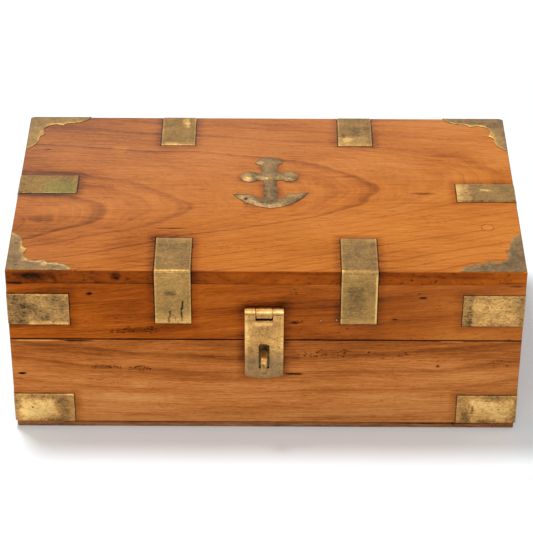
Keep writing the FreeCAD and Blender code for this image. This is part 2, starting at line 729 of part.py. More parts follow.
def top_nails():
    """Nails down through the top board, hidden under the straps and the corner plates."""
    spots = []
    level = "top_face - nail_set"
    for name, side in (("left", -1), ("right", 1)):
        beside = f"{STRAP_NAIL_SHARE} * strap_width"
        front_y = "wall_thickness / 2 - half_depth"
        back_y = "half_depth - wall_thickness / 2"
        wall_x = f"{side} * (half_width - wall_thickness / 2)"
        plate_x = f"{side} * (half_width - {PLATE_NAIL_SHARE} * plate_arm)"
        spots += [((f"{side} * (front_strap_offset + {beside})", front_y, level), UPRIGHT),
                  ((f"{side} * (back_strap_offset + {beside})", back_y, level), UPRIGHT),
                  ((wall_x, f"{name}_strap_shift + {STRAP_NAIL_SHARE} * side_strap_width", level), UPRIGHT),
                  ((plate_x, front_y, level), UPRIGHT),
                  ((plate_x, back_y, level), UPRIGHT)]
    return spots


def fit_board(label, blank, recesses, holes):
    """Cut the recesses and then the fastener holes in a board."""
    keep(cut(f"{label}_drilled", cut(f"{label}_recessed", blank, recesses), holes), label)


def fit_brass(fittings, holes):
    """Drill straps, plates or the anchor for their pins."""
    for fitting in fittings:
        keep(cut(f"{fitting['label']}_drilled", fitting["brass"], holes), fitting["label"])


def all_pins(fittings):
    return [pin for fitting in fittings for pin in fitting["pins"]]


screw = countersunk_screw("screw", "0")
slot_screw(screw)
screw_hole = countersunk_screw("screw_hole", "fastener_gap")
pin = straight_fastener("brass_pin", "brass_pin_radius", "brass_pin_length")
pin_hole = straight_fastener("brass_pin_hole", "brass_pin_radius + fastener_gap", "brass_pin_length")
nail = straight_fastener("nail", "nail_radius", "nail_length")
nail_hole = straight_fastener("nail_hole", "nail_radius + fastener_gap", "nail_length")

edge_straps = lid_straps()
lid_corners = corner_straps("lid", "lid_rim + lid_corner_strap_rise")
base_corners = corner_straps("base", "floor_thickness + base_corner_strap_rise")
plates = corner_plates()
emblem = anchor()

hinge_places = {"left": "hinge_end_margin - half_width", "right": "half_width - hinge_end_margin"}
hinge_screws = {"base": [], "lid": []}
for name, x in hinge_places.items():
    for part, spots in hinge(name, x, screw_hole).items():
        hinge_screws[part] += spots
leaf_screws = hasp_leaf(screw_hole)
hasp_plate()
staple_loop()
staple_screws, staple_mortises = staple_plate(screw_hole)

# Each group of fasteners: its pattern, its hole and its places
fasteners = {
    "hinge_base_screws": (screw, screw_hole, hinge_screws["base"]),
    "hinge_lid_screws": (screw, screw_hole, hinge_screws["lid"]),
    "hasp_leaf_screws": (screw, screw_hole, leaf_screws),
    "staple_screws": (screw, screw_hole, staple_screws),
    "lid_strap_pins": (pin, pin_hole, all_pins(edge_straps + lid_corners)),
    "base_strap_pins": (pin, pin_hole, all_pins(base_corners)),
    "corner_plate_pins": (pin, pin_hole, all_pins(plates)),
    "anchor_pin": (pin, pin_hole, emblem["pins"]),
    "base_corner_nails": (nail, nail_hole, corner_nails("floor_thickness", "base_wall_height", BASE_NAIL_SHARES)),
    "lid_corner_nails": (nail, nail_hole, corner_nails("lid_rim", "lid_wall_height", LID_NAIL_SHARES)),
    "floor_nails": (nail, nail_hole, floor_nails()),
    "top_nails": (nail, nail_hole, top_nails()),
}
holes = {}
for name, (pattern, hole, spots) in fasteners.items():
    keep(copies(f"{name}_group", pattern, spots), name)
    holes[name] = copies(f"{name}_holes", hole, spots)

fit_brass(edge_straps + lid_corners, holes["lid_strap_pins"])
fit_brass(base_corners, holes["base_strap_pins"])
fit_brass(plates, holes["corner_plate_pins"])
fit_brass([emblem], holes["anchor_pin"])

hinge_rooms = [room for name, x in hinge_places.items() for room in hinge_hollow(name, x)] + [hinge_bevel()]
lid_recesses = fuse("lid_recesses", [fit["recess"] for fit in edge_straps + lid_corners] + hinge_rooms)
base_recesses = fuse("base_recesses", [fit["recess"] for fit in base_corners] + hinge_rooms + staple_mortises)
lid_holes = gather("lid_holes", [holes[name] for name in (
    "hinge_lid_screws", "hasp_leaf_screws", "lid_strap_pins", "corner_plate_pins", "anchor_pin",
    "lid_corner_nails", "top_nails")])
base_holes = gather("base_holes", [holes[name] for name in (
    "hinge_base_screws", "staple_screws", "base_strap_pins", "base_corner_nails", "floor_nails")])

for name, blank in walls("base", "floor_thickness", "base_rim").items():
    fit_board(f"base_{name}_board", blank, base_recesses, base_holes)
for name, blank in walls("lid", "lid_rim", "top_underside").items():
    fit_board(f"lid_{name}_board", blank, lid_recesses, lid_holes)
floor_blank = box("floor_blank", ("floor_inset - half_width", "floor_inset - half_depth", "0"),
                  ("half_width - floor_inset", "half_depth - floor_inset", "floor_thickness"))
fit_board("floor_board", floor_blank, base_recesses, base_holes)
top_blank = box("top_blank", ("-half_width", "-half_depth", "top_underside"),
                ("half_width", "half_depth", "top_face"))
top_eased = ease_edges(top_blank, lambda edge: on_end(edge) + on_face(edge) + on_top(edge) == 2)
fit_board("lid_top_board", top_eased, lid_recesses, lid_holes)

doc.recompute()
broken = [thing.Label for thing in doc.Objects if {"Invalid", "Error"} & set(thing.State)]
broken += [piece.Label for piece in pieces if piece.Shape.isNull() or not piece.Shape.isValid()]
if broken:
    raise RuntimeError(f"these objects failed: {broken}")

os.makedirs("parts", exist_ok=True)
for piece in pieces:
    piece.Shape.exportStep(f"parts/{piece.Label}.step")
    print(piece.Label, len(piece.Shape.Solids), "solids", round(piece.Shape.Volume, 1), "mm3")
print(len(pieces), "pieces")
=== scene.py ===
# %% [markdown]
# # A brass-bound teak chest
# Boards, hinges and fasteners come from the solid model and keep their places. What hand and eye meet,
# such as worn edges, bent straps, corner plates, anchor and hasp, is modelled again over the solids
# with the marks of use, and every surface gets a finish made of nodes.

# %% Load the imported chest
import json
import math
import random
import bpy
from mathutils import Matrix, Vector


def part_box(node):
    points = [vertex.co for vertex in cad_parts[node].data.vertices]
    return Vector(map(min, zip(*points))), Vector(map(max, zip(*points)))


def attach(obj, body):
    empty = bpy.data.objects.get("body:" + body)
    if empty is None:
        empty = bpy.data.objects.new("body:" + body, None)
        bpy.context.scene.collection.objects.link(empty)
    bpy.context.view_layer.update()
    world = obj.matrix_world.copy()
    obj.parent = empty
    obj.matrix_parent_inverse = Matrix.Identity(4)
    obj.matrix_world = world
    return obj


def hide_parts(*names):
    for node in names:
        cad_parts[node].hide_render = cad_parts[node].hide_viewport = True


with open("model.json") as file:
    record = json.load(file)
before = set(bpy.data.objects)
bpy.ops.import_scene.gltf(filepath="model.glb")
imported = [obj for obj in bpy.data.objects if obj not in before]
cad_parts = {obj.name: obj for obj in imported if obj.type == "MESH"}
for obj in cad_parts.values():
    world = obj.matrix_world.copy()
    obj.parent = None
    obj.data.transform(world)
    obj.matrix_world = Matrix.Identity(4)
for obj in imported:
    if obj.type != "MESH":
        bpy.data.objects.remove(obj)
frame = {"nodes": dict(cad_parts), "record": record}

from types import SimpleNamespace

import bmesh
import bpy
from mathutils import Matrix, Vector, kdtree, noise

MM = 0.001
scene = bpy.context.scene
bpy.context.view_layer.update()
nodes = frame["nodes"]
bodies = frame["record"]["behaviour"]["bodies"]
body_of = {node: body for body, members in bodies.items() for node in members}

# %% [markdown]
# ## Camera
# The chest was seen from straight in front, looking down by about 35 degrees. A short lens close by
# would frame it too, but would spread its sides apart. A long lens keeps them nearly parallel, so the
# distance matters as much as the angle.

# %% Camera
IMAGE_PIXELS, FOCAL_PIXELS, SHIFT_PIXELS = 533, 2216.85, 0.7
SENSOR = 36.0
LOOK_AT, DISTANCE = Vector((0.22, 0, 70.1)) * MM, 1628.5 * MM
RISE, ROLL = math.radians(34.94), math.radians(-0.27)
backwards = Vector((0, -math.cos(RISE), math.sin(RISE)))
level = Vector((1, 0, 0))
right = math.cos(ROLL) * level - math.sin(ROLL) * backwards.cross(level)
lens = bpy.data.cameras.new("chest_camera")
lens.sensor_width = SENSOR
lens.lens = FOCAL_PIXELS * SENSOR / IMAGE_PIXELS
lens.shift_y = SHIFT_PIXELS / IMAGE_PIXELS
camera = bpy.data.objects.new("chest_camera", lens)
axes = Matrix((right, backwards.cross(right), backwards)).transposed().to_4x4()
camera.matrix_world = Matrix.Translation(LOOK_AT + backwards * DISTANCE) @ axes
scene.collection.objects.link(camera)
scene.camera = camera
print("camera at", [round(v, 3) for v in camera.location], "lens", round(lens.lens, 1))

# %% [markdown]
# ## Nodes and colours
# Every finish below is a node tree. It could be clicked together in the editor; in a script one
# function adds a node, sets its values and links its inputs, and another turns the hex colours that
# painters use into the linear numbers that Blender mixes.


# %% Helpers for finishes
def linear(hex_colour):
    """An sRGB hex colour as linear red, green, blue and full alpha."""
    shares = [int(hex_colour[i:i + 2], 16) / 255 for i in (1, 3, 5)]
    return (*[s / 12.92 if s <= 0.04045 else ((s + 0.055) / 1.055) ** 2.4 for s in shares], 1)


def add(tree, kind, inputs=(), stops=(), **settings):
    """Add a node; its inputs take values or other nodes' outputs, and stops fill a colour ramp."""
    node = tree.nodes.new("ShaderNode" + kind)
    for key, value in settings.items():
        setattr(node, key, value)
    for key, value in dict(inputs).items():
        if isinstance(value, bpy.types.NodeSocket):
            tree.links.new(value, node.inputs[key])
        else:
            node.inputs[key].default_value = value
    if stops:
        elements = node.color_ramp.elements
        while len(elements) < len(stops):
            elements.new(1)
        for stop, (place, colour) in zip(elements, sorted(stops)):
            stop.position = place
            stop.color = linear(colour) if isinstance(colour, str) else (colour, colour, colour, 1)
    return node.outputs


def new_finish(name):
    """A material with its tree and its shader."""
    material = bpy.data.materials.new(name)
    material.use_nodes = True
    return material, material.node_tree, material.node_tree.nodes["Principled BSDF"]


# %% [markdown]
# ## Stage
# The chest stands on white paper. More light could make the floor white, but would bleach the chest
# too. Instead the floor glows by a share for the camera and for reflections, and the rest of its
# light is real and keeps the chest's shadow. Paper is matt and mirrors no lamp, so it is diffuse only.

# %% Floor
FLOOR_HALF = 4.0
FLOOR_GLOW, FLOOR_GREY = 0.24, (0.8, 0.855, 0.88, 1)


def in_sight(tree):
    """1 for rays that the eye follows: straight ones, reflections and views through glass."""
    rays = add(tree, "LightPath")
    sight = add(tree, "Math", {0: rays["Is Camera Ray"], 1: rays["Is Glossy Ray"]}, operation="MAXIMUM")[0]
    return add(tree, "Math", {0: sight, 1: rays["Is Transmission Ray"]}, operation="MAXIMUM")[0]


paper, tree, shader = new_finish("white_paper_floor")
tree.nodes.remove(shader)
glow = add(tree, "Math", {0: in_sight(tree), 1: FLOOR_GLOW}, operation="MULTIPLY")[0]
lit = add(tree, "BsdfDiffuse", {"Color": FLOOR_GREY})[0]
shine = add(tree, "Emission", {"Color": linear("#FFFFFF"), "Strength": glow})[0]
both = add(tree, "AddShader", {0: lit, 1: shine})[0]
tree.links.new(both, tree.nodes["Material Output"].inputs["Surface"])
ground = bmesh.new()
bmesh.ops.create_grid(ground, x_segments=1, y_segments=1, size=FLOOR_HALF)
floor_mesh = bpy.data.meshes.new("floor")
ground.to_mesh(floor_mesh)
ground.free()
floor_mesh.materials.append(paper)
floor = bpy.data.objects.new("floor", floor_mesh)
scene.collection.objects.link(floor)
print("floor", 2 * FLOOR_HALF, "m wide")

# %% [markdown]
# A round softbox high above, a little behind and to the left, throws the soft shadow; a broad, weak
# lamp in front fills it, and so does an even sky. Lamps could be set in watts by eye. Here each gets
# the share of full white that it gives a surface facing it, so colours render about as written.

# %% Lamps and sky
SKY_LIGHT = 0.34


def add_lamp(name, place, size, share):
    """A round lamp aimed at the chest; share is the part of full white that it gives."""
    light = bpy.data.lights.new(name, "AREA")
    light.shape, light.size = "DISK", size
    light.energy = share * math.pi ** 2 * Vector(place).length_squared
    lamp = bpy.data.objects.new(name, light)
    lamp.location = place
    lamp.rotation_euler = (-lamp.location).to_track_quat("-Z", "Y").to_euler()
    scene.collection.objects.link(lamp)
    print(name, round(light.energy, 1), "W")


add_lamp("softbox", (-0.45, 0.4, 2.4), 0.5, 0.68)
add_lamp("front_fill", (-0.5, -2.6, 0.55), 1.4, 0.26)
world = bpy.data.worlds.new("even_sky")
scene.world = world
world.use_nodes = True
tree = world.node_tree
sky = add(tree, "Math", {0: in_sight(tree), 1: SKY_LIGHT}, operation="MAXIMUM")[0]
tree.nodes["Background"].inputs["Color"].default_value = linear("#FFFFFF")
tree.links.new(sky, tree.nodes["Background"].inputs["Strength"])
scene.view_settings.view_transform = "Standard"

# %% [markdown]
# ## Teak: growth rings
# On a flat-sawn board the growth rings are cut at a slant, which draws tongues along the middle and
# straight lines at the sides. Painting that would fit one face only, so the rings are worked out in
# the solid: each point's distance from the tree's heart, plus the trunk's taper, gives its ring.

# %% Growth rings
DRIFT, DRIFT_SPAN = 10.0, (75, 32, 32)
CROWD_EASE = 26.0


def growth_rings(tree, board, wood):
    """Each point's ring in mm, and its place along the grain, across it and below the face."""
    # Growth is never straight: the rings wander by a few millimetres over a hand's length
    slow = add(tree, "Mapping", {"Vector": board, "Location": (wood.seed, wood.seed, 0),
                                 "Scale": [1 / span for span in DRIFT_SPAN]})[0]
    drift = add(tree, "TexNoise", {"Vector": slow, "Scale": 1.0, "Detail": 1.2})["Color"]
    drift = add(tree, "VectorMath", {0: drift, 1: (0, DRIFT, DRIFT), 2: (0, -DRIFT / 2, -DRIFT / 2)},
                operation="MULTIPLY_ADD")[0]
    bent = add(tree, "VectorMath", {0: board, 1: drift}, operation="ADD")[0]
    along, wide, deep = add(tree, "SeparateXYZ", {0: bent})
    across, height, slant = wood.heart
    lean = add(tree, "Math", {0: along, 1: -slant, 2: -across}, operation="MULTIPLY_ADD")[0]
    off = add(tree, "Math", {0: wide, 1: lean}, operation="ADD")[0]
    low = add(tree, "Math", {0: deep, 1: -height}, operation="ADD")[0]
    flat = add(tree, "CombineXYZ", {0: 0.0, 1: off, 2: low})[0]
    radius = add(tree, "VectorMath", {0: flat}, operation="LENGTH")["Value"]
    ring = add(tree, "Math", {0: along, 1: wood.taper, 2: radius}, operation="MULTIPLY_ADD")[0]
    # On one side of the heart the tree grew slowly, so the rings crowd there
    start, more = wood.crowd
    slow_side = add(tree, "Math", {0: off, 1: -1.0, 2: -start}, operation="MULTIPLY_ADD")[0]
    slow_side = add(tree, "Math", {0: slow_side, 1: 0.0, 2: CROWD_EASE}, operation="SMOOTH_MAX")[0]
    ring = add(tree, "Math", {0: slow_side, 1: more, 2: ring}, operation="MULTIPLY_ADD")[0]
    square = add(tree, "Math", {0: along, 1: along}, operation="MULTIPLY")[0]
    ring = add(tree, "Math", {0: square, 1: wood.bow, 2: ring}, operation="MULTIPLY_ADD")[0]
    return ring, along, wide, deep


# %% [markdown]
# Late wood is the dark line that closes each ring. A wave texture would space the lines evenly, as no
# tree does. The strong lines stand where this board shows them, from a ramp; the weak ones come about
# every 5 mm from a saw-tooth that noise makes uneven.

# %% Late wood
LINES_IN_RAMP = 9  # a colour ramp holds 32 stops, and a line takes three
RAMP_MARGIN = 9.0
WEAK_STEP, UNEVEN_SPAN, UNEVEN_STEPS = 5.2, 16.0, 4.0
WEAK_PROFILE = [(0, 0), (0.4, 0.15), (0.8, 0.7), (0.93, 1), (1, 0)]


def strong_lines(tree, ring, lines, widths):
    """Dark lines, given as (ring in mm, depth); widths are how far each fades inwards and outwards."""
    strong = None
    for start in range(0, len(lines), LINES_IN_RAMP):
        group = lines[start:start + LINES_IN_RAMP]
        first, last = group[0][0] - RAMP_MARGIN, group[-1][0] + RAMP_MARGIN
        stops = [(0, 0)]
        for size, depth in group:
            for place, share in ((size - widths[0], 0.05), (size, 1), (size + widths[1], 0)):
                stops.append(((place - first) / (last - first), share * depth))
        share = add(tree, "MapRange", {"Value": ring, "From Min": first, "From Max": last})[0]
        dark = add(tree, "ValToRGB", {0: share}, stops=stops)["Color"]
        strong = add(tree, "Math", {0: strong, 1: dark}, operation="MAXIMUM")[0] if strong else dark
    return strong


def weak_lines(tree, ring):
    """Fainter lines between the strong ones, with stretches that have none."""
    spread = add(tree, "Math", {0: ring, 1: 1 / UNEVEN_SPAN}, operation="MULTIPLY")[0]
    uneven = add(tree, "TexNoise", {"W": spread, "Scale": 1.0, "Detail": 2.0}, noise_dimensions="1D")["Fac"]
    step = add(tree, "Math", {0: ring, 1: 1 / WEAK_STEP}, operation="MULTIPLY")[0]
    step = add(tree, "Math", {0: uneven, 1: UNEVEN_STEPS, 2: step}, operation="MULTIPLY_ADD")[0]
    step = add(tree, "Math", {0: step}, operation="FRACT")[0]
    weak = add(tree, "ValToRGB", {0: step}, stops=WEAK_PROFILE)["Color"]
    fade = add(tree, "MapRange", {"Value": uneven, "From Min": 0.35, "From Max": 0.6})[0]
    return add(tree, "Math", {0: weak, 1: fade}, operation="MULTIPLY")[0]


# %% [markdown]
# Fibres run along the board as long streaks, open pores as short dark dashes, and old worm or tool
# pits as dots that come in patches; fine flecks follow the rings. Each is noise stretched to its real
# length and width in the solid, because a pattern laid on one face would smear over the edges.
# Streaks are 1.1 mm and pores 0.5 mm wide here, coarser than life, so that the camera can see them.


# %% Fibres, pores and pits
def mottling(tree, rows):
    """Noises in real sizes; a row is (place, size in mm, shift or turn, grain, span that shows)."""
    found = []
    for place, size, lay, grain, span in rows:
        spread = add(tree, "Mapping", {"Vector": place, "Scale": [1 / mm for mm in size], **lay})[0]
        value = add(tree, "TexNoise", {"Vector": spread, "Scale": 1.0, **grain})["Fac"]
        if span:
            value = add(tree, "MapRange", {"Value": value, "From Min": span[0], "From Max": span[1]})[0]
        found.append(value)
    return found


def fibres(tree, rings, seed):
    """Streaks, flecks, pores and pits."""
    ring, along, wide, deep = rings
    straight = add(tree, "CombineXYZ", {0: along, 1: wide, 2: deep})[0]
    curved = add(tree, "CombineXYZ", {0: along, 1: ring, 2: deep})[0]
    streak, fleck, pore, pit, patch = mottling(tree, (
        (straight, (34, 1.1, 20), {"Location": (seed, 0, 0)}, {"Detail": 4.0, "Roughness": 0.65}, None),
        (curved, (6, 1.1, 6), {"Location": (seed, 0, 9)}, {"Detail": 3.0, "Roughness": 0.7}, None),
        (straight, (5.5, 0.5, 3), {"Location": (0, seed, 0)}, {"Detail": 1.0}, (0.6, 0.74)),
        (straight, (2.6, 1.2, 3), {"Location": (0, 0, seed)}, {"Detail": 2.0}, (0.6, 0.7)),
        (straight, (40, 11, 30), {"Location": (seed, seed, 0)}, {"Detail": 1.0}, (0.52, 0.72))))
    return streak, fleck, pore, add(tree, "Math", {0: pit, 1: patch}, operation="MULTIPLY")[0]


# %% [markdown]
# Wood with all this in it could be mixed from many colours. But darker wood is always redder too, so
# lines, fibres and clouds add up to a single tone first, from 0 for dark to 1 for pale, and one ramp
# turns the tone to colour later. Fades also make whole ends of a board paler or darker; on the base
# front a fade is painted light from the floor, paler towards the foot.

# %% Tone of clean wood
MIDDLE_TONE = 0.53
STREAK, FLECK, STRONG, WEAK, PORE, PIT = 0.45, 0.25, -0.3, -0.15, -0.14, -0.3


def add_up(tree, tone, parts):
    """A tone plus each pattern times its weight."""
    for pattern, weight in parts:
        tone = add(tree, "Math", {0: pattern, 1: weight, 2: tone}, operation="MULTIPLY_ADD")[0]
    return tone


def clean_tone(tree, real, board, rings, wood):
    """The tone of a board with no dirt on it, and its broad clouds."""
    streak, fleck, pore, pit = fibres(tree, rings, wood.seed)
    share, long, short = wood.blotch
    [cloud] = mottling(tree, [(board, (long, short, short), {"Location": (0, 0, wood.seed)},
                               {"Detail": 3.0}, None)])
    middle = MIDDLE_TONE - share / 2 - wood.fibre * (STREAK + FLECK) / 2
    tone = add(tree, "Math", {0: cloud, 1: share, 2: middle}, operation="MULTIPLY_ADD")[0]
    strong, weak = strong_lines(tree, rings[0], wood.lines, wood.widths), weak_lines(tree, rings[0])
    tone = add_up(tree, tone, ((streak, STREAK * wood.fibre), (fleck, FLECK * wood.fibre),
                               (strong, STRONG * wood.figure), (weak, WEAK * wood.figure),
                               (pore, PORE), (pit, PIT)))
    for axis, start, end, amount in wood.fades:
        value = add(tree, "SeparateXYZ", {0: real})[axis]
        light = add(tree, "MapRange", {"Value": value, "From Min": start, "From Max": end, "To Max": amount})[0]
        tone = add(tree, "Math", {0: tone, 1: light}, operation="ADD")[0]
    return tone, cloud


# %% [markdown]
# ## Dirt and painted shade on the wood
# Dirt and polish gather in the wood beside the brass, and the shade that the brass throws there is painted
# in as well. It could be painted by hand into a map; here a strap's own box in the solid model tells how
# near a point is, so the dark line follows the straps exactly. A strap bends over an edge and its box is
# hollow, so each leg counts as a thin box.

# %% Distances on the chest
FACES = (178, 101, 137)  # the outer faces: half the length, half the depth and the height, in mm
LEG = 1.5


def beside(tree, real, boxes):
    """The distance in mm to the nearest of some boxes, each given by two corners in mm."""
    near = None
    for low, high in boxes:
        middle, half = (Vector(low) + Vector(high)) / 2, (Vector(high) - Vector(low)) / 2
        away = add(tree, "VectorMath", {0: real, 1: middle}, operation="SUBTRACT")[0]
        away = add(tree, "VectorMath", {0: away}, operation="ABSOLUTE")[0]
        away = add(tree, "VectorMath", {0: away, 1: half}, operation="SUBTRACT")[0]
        away = add(tree, "VectorMath", {0: away, 1: (0, 0, 0)}, operation="MAXIMUM")[0]
        away = add(tree, "VectorMath", {0: away}, operation="LENGTH")["Value"]
        near = add(tree, "Math", {0: near, 1: away}, operation="MINIMUM")[0] if near else away
    return near


def strap_legs(straps, across):
    """The legs of bent straps that lie on the outer faces across the given axes, as boxes in mm."""
    found = []
    for node in straps:
        low, high = [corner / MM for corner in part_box(node)]
        for axis in across:
            for outer, inner in ((low, 1), (high, 0)):
                if abs(outer[axis]) > FACES[axis]:
                    leg = low.copy(), high.copy()
                    leg[inner][axis] = math.copysign(abs(outer[axis]) - LEG, outer[axis])
                    found.append(leg)
    return found


# %% [markdown]
# A stain has no ruled outline. A noise moves its rim in and out before the distance is turned into a
# shade. The same shade serves for dirt and painted shade beside brass, for the painted shadow round the
# anchor and hasp, for the joints, and for single spots, which are stretched balls of shade, dark or pale.

# %% Dirt, painted shade, joints and spots
RAGGED_MM = 5
# Reach in mm and depth of the black line and the haze beside brass, dirt and painted shade, and of the painted
# shadow halos, grooves and joints
BRASS_DIRT_AND_SHADE = ((1.4, 0.3), (8.0, 0.17))
SHADE_DIRT, GROOVE_DIRT, JOINT_DIRT = (8.0, 0.2), (0.8, 0.5), (0.6, 0.14)
# How much a noise moves a rim, and how far the whole rim then goes back
BRASS_FRAY, SPOT_FRAY, ZONE_FRAY = (1.6, 0.7), (0.9, 0.75), (2.4, 1.1)
SPOT_REACH, ZONE_REACH = 0.75, 1.4


def darken(tree, tone, distance, reach, depth):
    """Take depth off a tone at no distance, fading to nothing at reach."""
    shade = add(tree, "MapRange", {"Value": distance, "From Min": 0.0, "From Max": reach, "To Min": depth,
                                   "To Max": 0.0}, interpolation_type="SMOOTHSTEP")[0]
    return add(tree, "Math", {0: tone, 1: shade}, operation="SUBTRACT")[0]


def fray(tree, distance, ragged, amount, back):
    """Move the rim of a stain in and out by a noise."""
    distance = add(tree, "Math", {0: ragged, 1: amount, 2: distance}, operation="MULTIPLY_ADD")[0]
    return add(tree, "Math", {0: distance, 1: -back}, operation="ADD")[0]


def dirt_and_shade_tone(tree, tone, real, wood):
    """Add the dirt and painted shade beside brass, the painted shadow round anchor and hasp, the dark grooves and
    joints, and a board's own spots.
    """
    [ragged] = mottling(tree, [(real, (RAGGED_MM,) * 3, {}, {"Detail": 3.0}, None)])
    if wood.brass:
        near = fray(tree, beside(tree, real, wood.brass), ragged, *BRASS_FRAY)
        for reach, depth in BRASS_DIRT_AND_SHADE:
            tone = darken(tree, tone, near, reach, depth)
    for boxes, darkening in ((wood.shaded, SHADE_DIRT), (wood.grooves, GROOVE_DIRT), (wood.joints, JOINT_DIRT)):
        if boxes:
            tone = darken(tree, tone, beside(tree, real, boxes), *darkening)
    for centre, radii, depth in wood.marks:
        spot = add(tree, "Mapping", {"Vector": real, "Location": [-c / r for c, r in zip(centre, radii)],
                                     "Scale": [1 / r for r in radii]})[0]
        spot = add(tree, "VectorMath", {0: spot}, operation="LENGTH")["Value"]
        tone = darken(tree, tone, fray(tree, spot, ragged, *SPOT_FRAY), SPOT_REACH, depth)
    return tone


# %% [markdown]
# Pits and worn edges lie a little below a face and are darkened there, for the dirt that fills them and
# as painted shade, so depth below the face is enough to find them. And the front and back edges of the top
# board are cut along the grain, so they show level lines and the red of fresh wood, where the face has gone pale.

# %% Sunk dirt and painted shade, and long edges
PIT_REACH, PIT_DIRT_AND_SHADE = 1.8, 0.34
EDGE_FROM, EDGE_TO, EDGE_RISE = 100.2, 100.8, 0.02


def sunk_dirt_and_shade(tree, tone, real, face):
    """Darken what lies below a face, for dirt and painted shade, inside a box that leaves its outer edges clean."""
    axis, level, box = face
    place = add(tree, "Math", {0: add(tree, "SeparateXYZ", {0: real})[axis]}, operation="ABSOLUTE")[0]
    depth = add(tree, "MapRange", {"Value": place, "From Min": level, "From Max": level - PIT_REACH})[0]
    sunk = add(tree, "ValToRGB", {0: depth}, stops=[(0.05, 0), (0.2, 1), (0.75, 1), (1, 0)])["Color"]
    keep = add(tree, "MapRange", {"Value": beside(tree, real, [box]), "From Min": 0.2, "From Max": 0.6,
                                  "To Min": -PIT_DIRT_AND_SHADE, "To Max": 0.0})[0]
    return add(tree, "Math", {0: sunk, 1: keep, 2: tone}, operation="MULTIPLY_ADD")[0]


def long_edge(tree, real, rings):
    """1 on the front and back edges of the top board, and rings that lie level there."""
    ring, along, wide, deep = rings
    _, away, height = add(tree, "SeparateXYZ", {0: real})
    away = add(tree, "Math", {0: away}, operation="ABSOLUTE")[0]
    edge = add(tree, "MapRange", {"Value": away, "From Min": EDGE_FROM, "From Max": EDGE_TO})[0]
    level = add(tree, "Math", {0: along, 1: EDGE_RISE, 2: height}, operation="MULTIPLY_ADD")[0]
    return edge, (add(tree, "Mix", {0: edge, 2: ring, 3: level})[0], along, wide, deep)


# %% [markdown]
# ## Waxed teak
# The wood was waxed long ago and has been dusted since. To the eye that is a warm colour with a low,
# even gloss, a little rougher where the wood is dark, and a thin pale film that grows to one side; on
# the top that film is painted sheen, paler towards the back. A clear coat would shine too much, so the
# gloss is only a small specular level.


# %% Wax
def in_mm(tree):
    """Each point's place on the chest in millimetres."""
    place = add(tree, "TexCoord")["Object"]
    return add(tree, "VectorMath", {0: place, 1: (1 / MM,) * 3}, operation="MULTIPLY")[0]


def pale_film_and_sheen(tree, colour, real, cloud, veil):
    """A pale film that grows along a slope in x, y and z from a start, broken by the clouds."""
    *slope, start, pale = veil
    growth = add(tree, "VectorMath", {0: real, 1: slope}, operation="DOT_PRODUCT")["Value"]
    growth = add(tree, "Math", {0: growth, 1: start}, operation="ADD")[0]
    growth = add(tree, "Math", {0: cloud, 1: 0.1, 2: growth}, operation="MULTIPLY_ADD", use_clamp=True)[0]
    return add(tree, "Mix", {0: growth, 6: colour, 7: linear(pale)}, data_type="RGBA")[2]


# %% The whole finish of a board
WAX_IOR, WAX_GLOSS = 1.48, 0.05
ROUGH_DARK, ROUGH_PALE = 0.6, 0.4
GRAIN_RELIEF = 0.3 * MM
PLAIN_BOARD = dict(widths=(3.5, 1.1), taper=0.0, bow=0.0, crowd=(0.0, 0.0), blotch=(0.5, 90, 42), seed=0.0,
                   figure=1.0, fibre=1.0, fades=(), brass=(), shaded=(), grooves=(), joints=(), marks=(),
                   face=None, veil=None, edge_tones=None)


def waxed_teak(name, **own):
    """Solid waxed wood; rows turn the board so that x is the grain, y the width and z the face."""
    wood = SimpleNamespace(**{**PLAIN_BOARD, **own})
    material, tree, shader = new_finish(name)
    real = in_mm(tree)
    board = add(tree, "Mapping", {"Vector": real, "Rotation": Matrix(wood.rows).to_euler()})[0]
    rings = growth_rings(tree, board, wood)
    if wood.edge_tones:
        edge, rings = long_edge(tree, real, rings)
    tone, cloud = clean_tone(tree, real, board, rings, wood)
    tone = dirt_and_shade_tone(tree, tone, real, wood)
    if wood.face:
        tone = sunk_dirt_and_shade(tree, tone, real, wood.face)
    colour = add(tree, "ValToRGB", {0: tone}, stops=wood.tones)["Color"]
    # A pale film mixed over the colour; on the top board it is painted sheen.
    if wood.veil:
        colour = pale_film_and_sheen(tree, colour, real, cloud, wood.veil)
    if wood.edge_tones:
        long_grain = add(tree, "ValToRGB", {0: tone}, stops=wood.edge_tones)["Color"]
        colour = add(tree, "Mix", {0: edge, 6: colour, 7: long_grain}, data_type="RGBA")[2]
    rough = add(tree, "MapRange", {"Value": tone, "To Min": ROUGH_DARK, "To Max": ROUGH_PALE})[0]
    relief = add(tree, "Bump", {"Height": tone, "Strength": 0.3, "Distance": GRAIN_RELIEF})[0]
    for socket, value in (("Base Color", colour), ("Roughness", rough), ("Normal", relief)):
        tree.links.new(value, shader.inputs[socket])
    shader.inputs["IOR"].default_value = WAX_IOR
    shader.inputs["Specular IOR Level"].default_value = WAX_GLOSS
    return material


# %% [markdown]
# ## Boards
# Each board is its own piece of the tree. The top shows tongues that close to the right; the fronts
# show long, slightly bowed lines. One finish for all would show the same lines on every side, so each
# gets its own heart, lines and spots. Sizes are in millimetres, read on the chest.

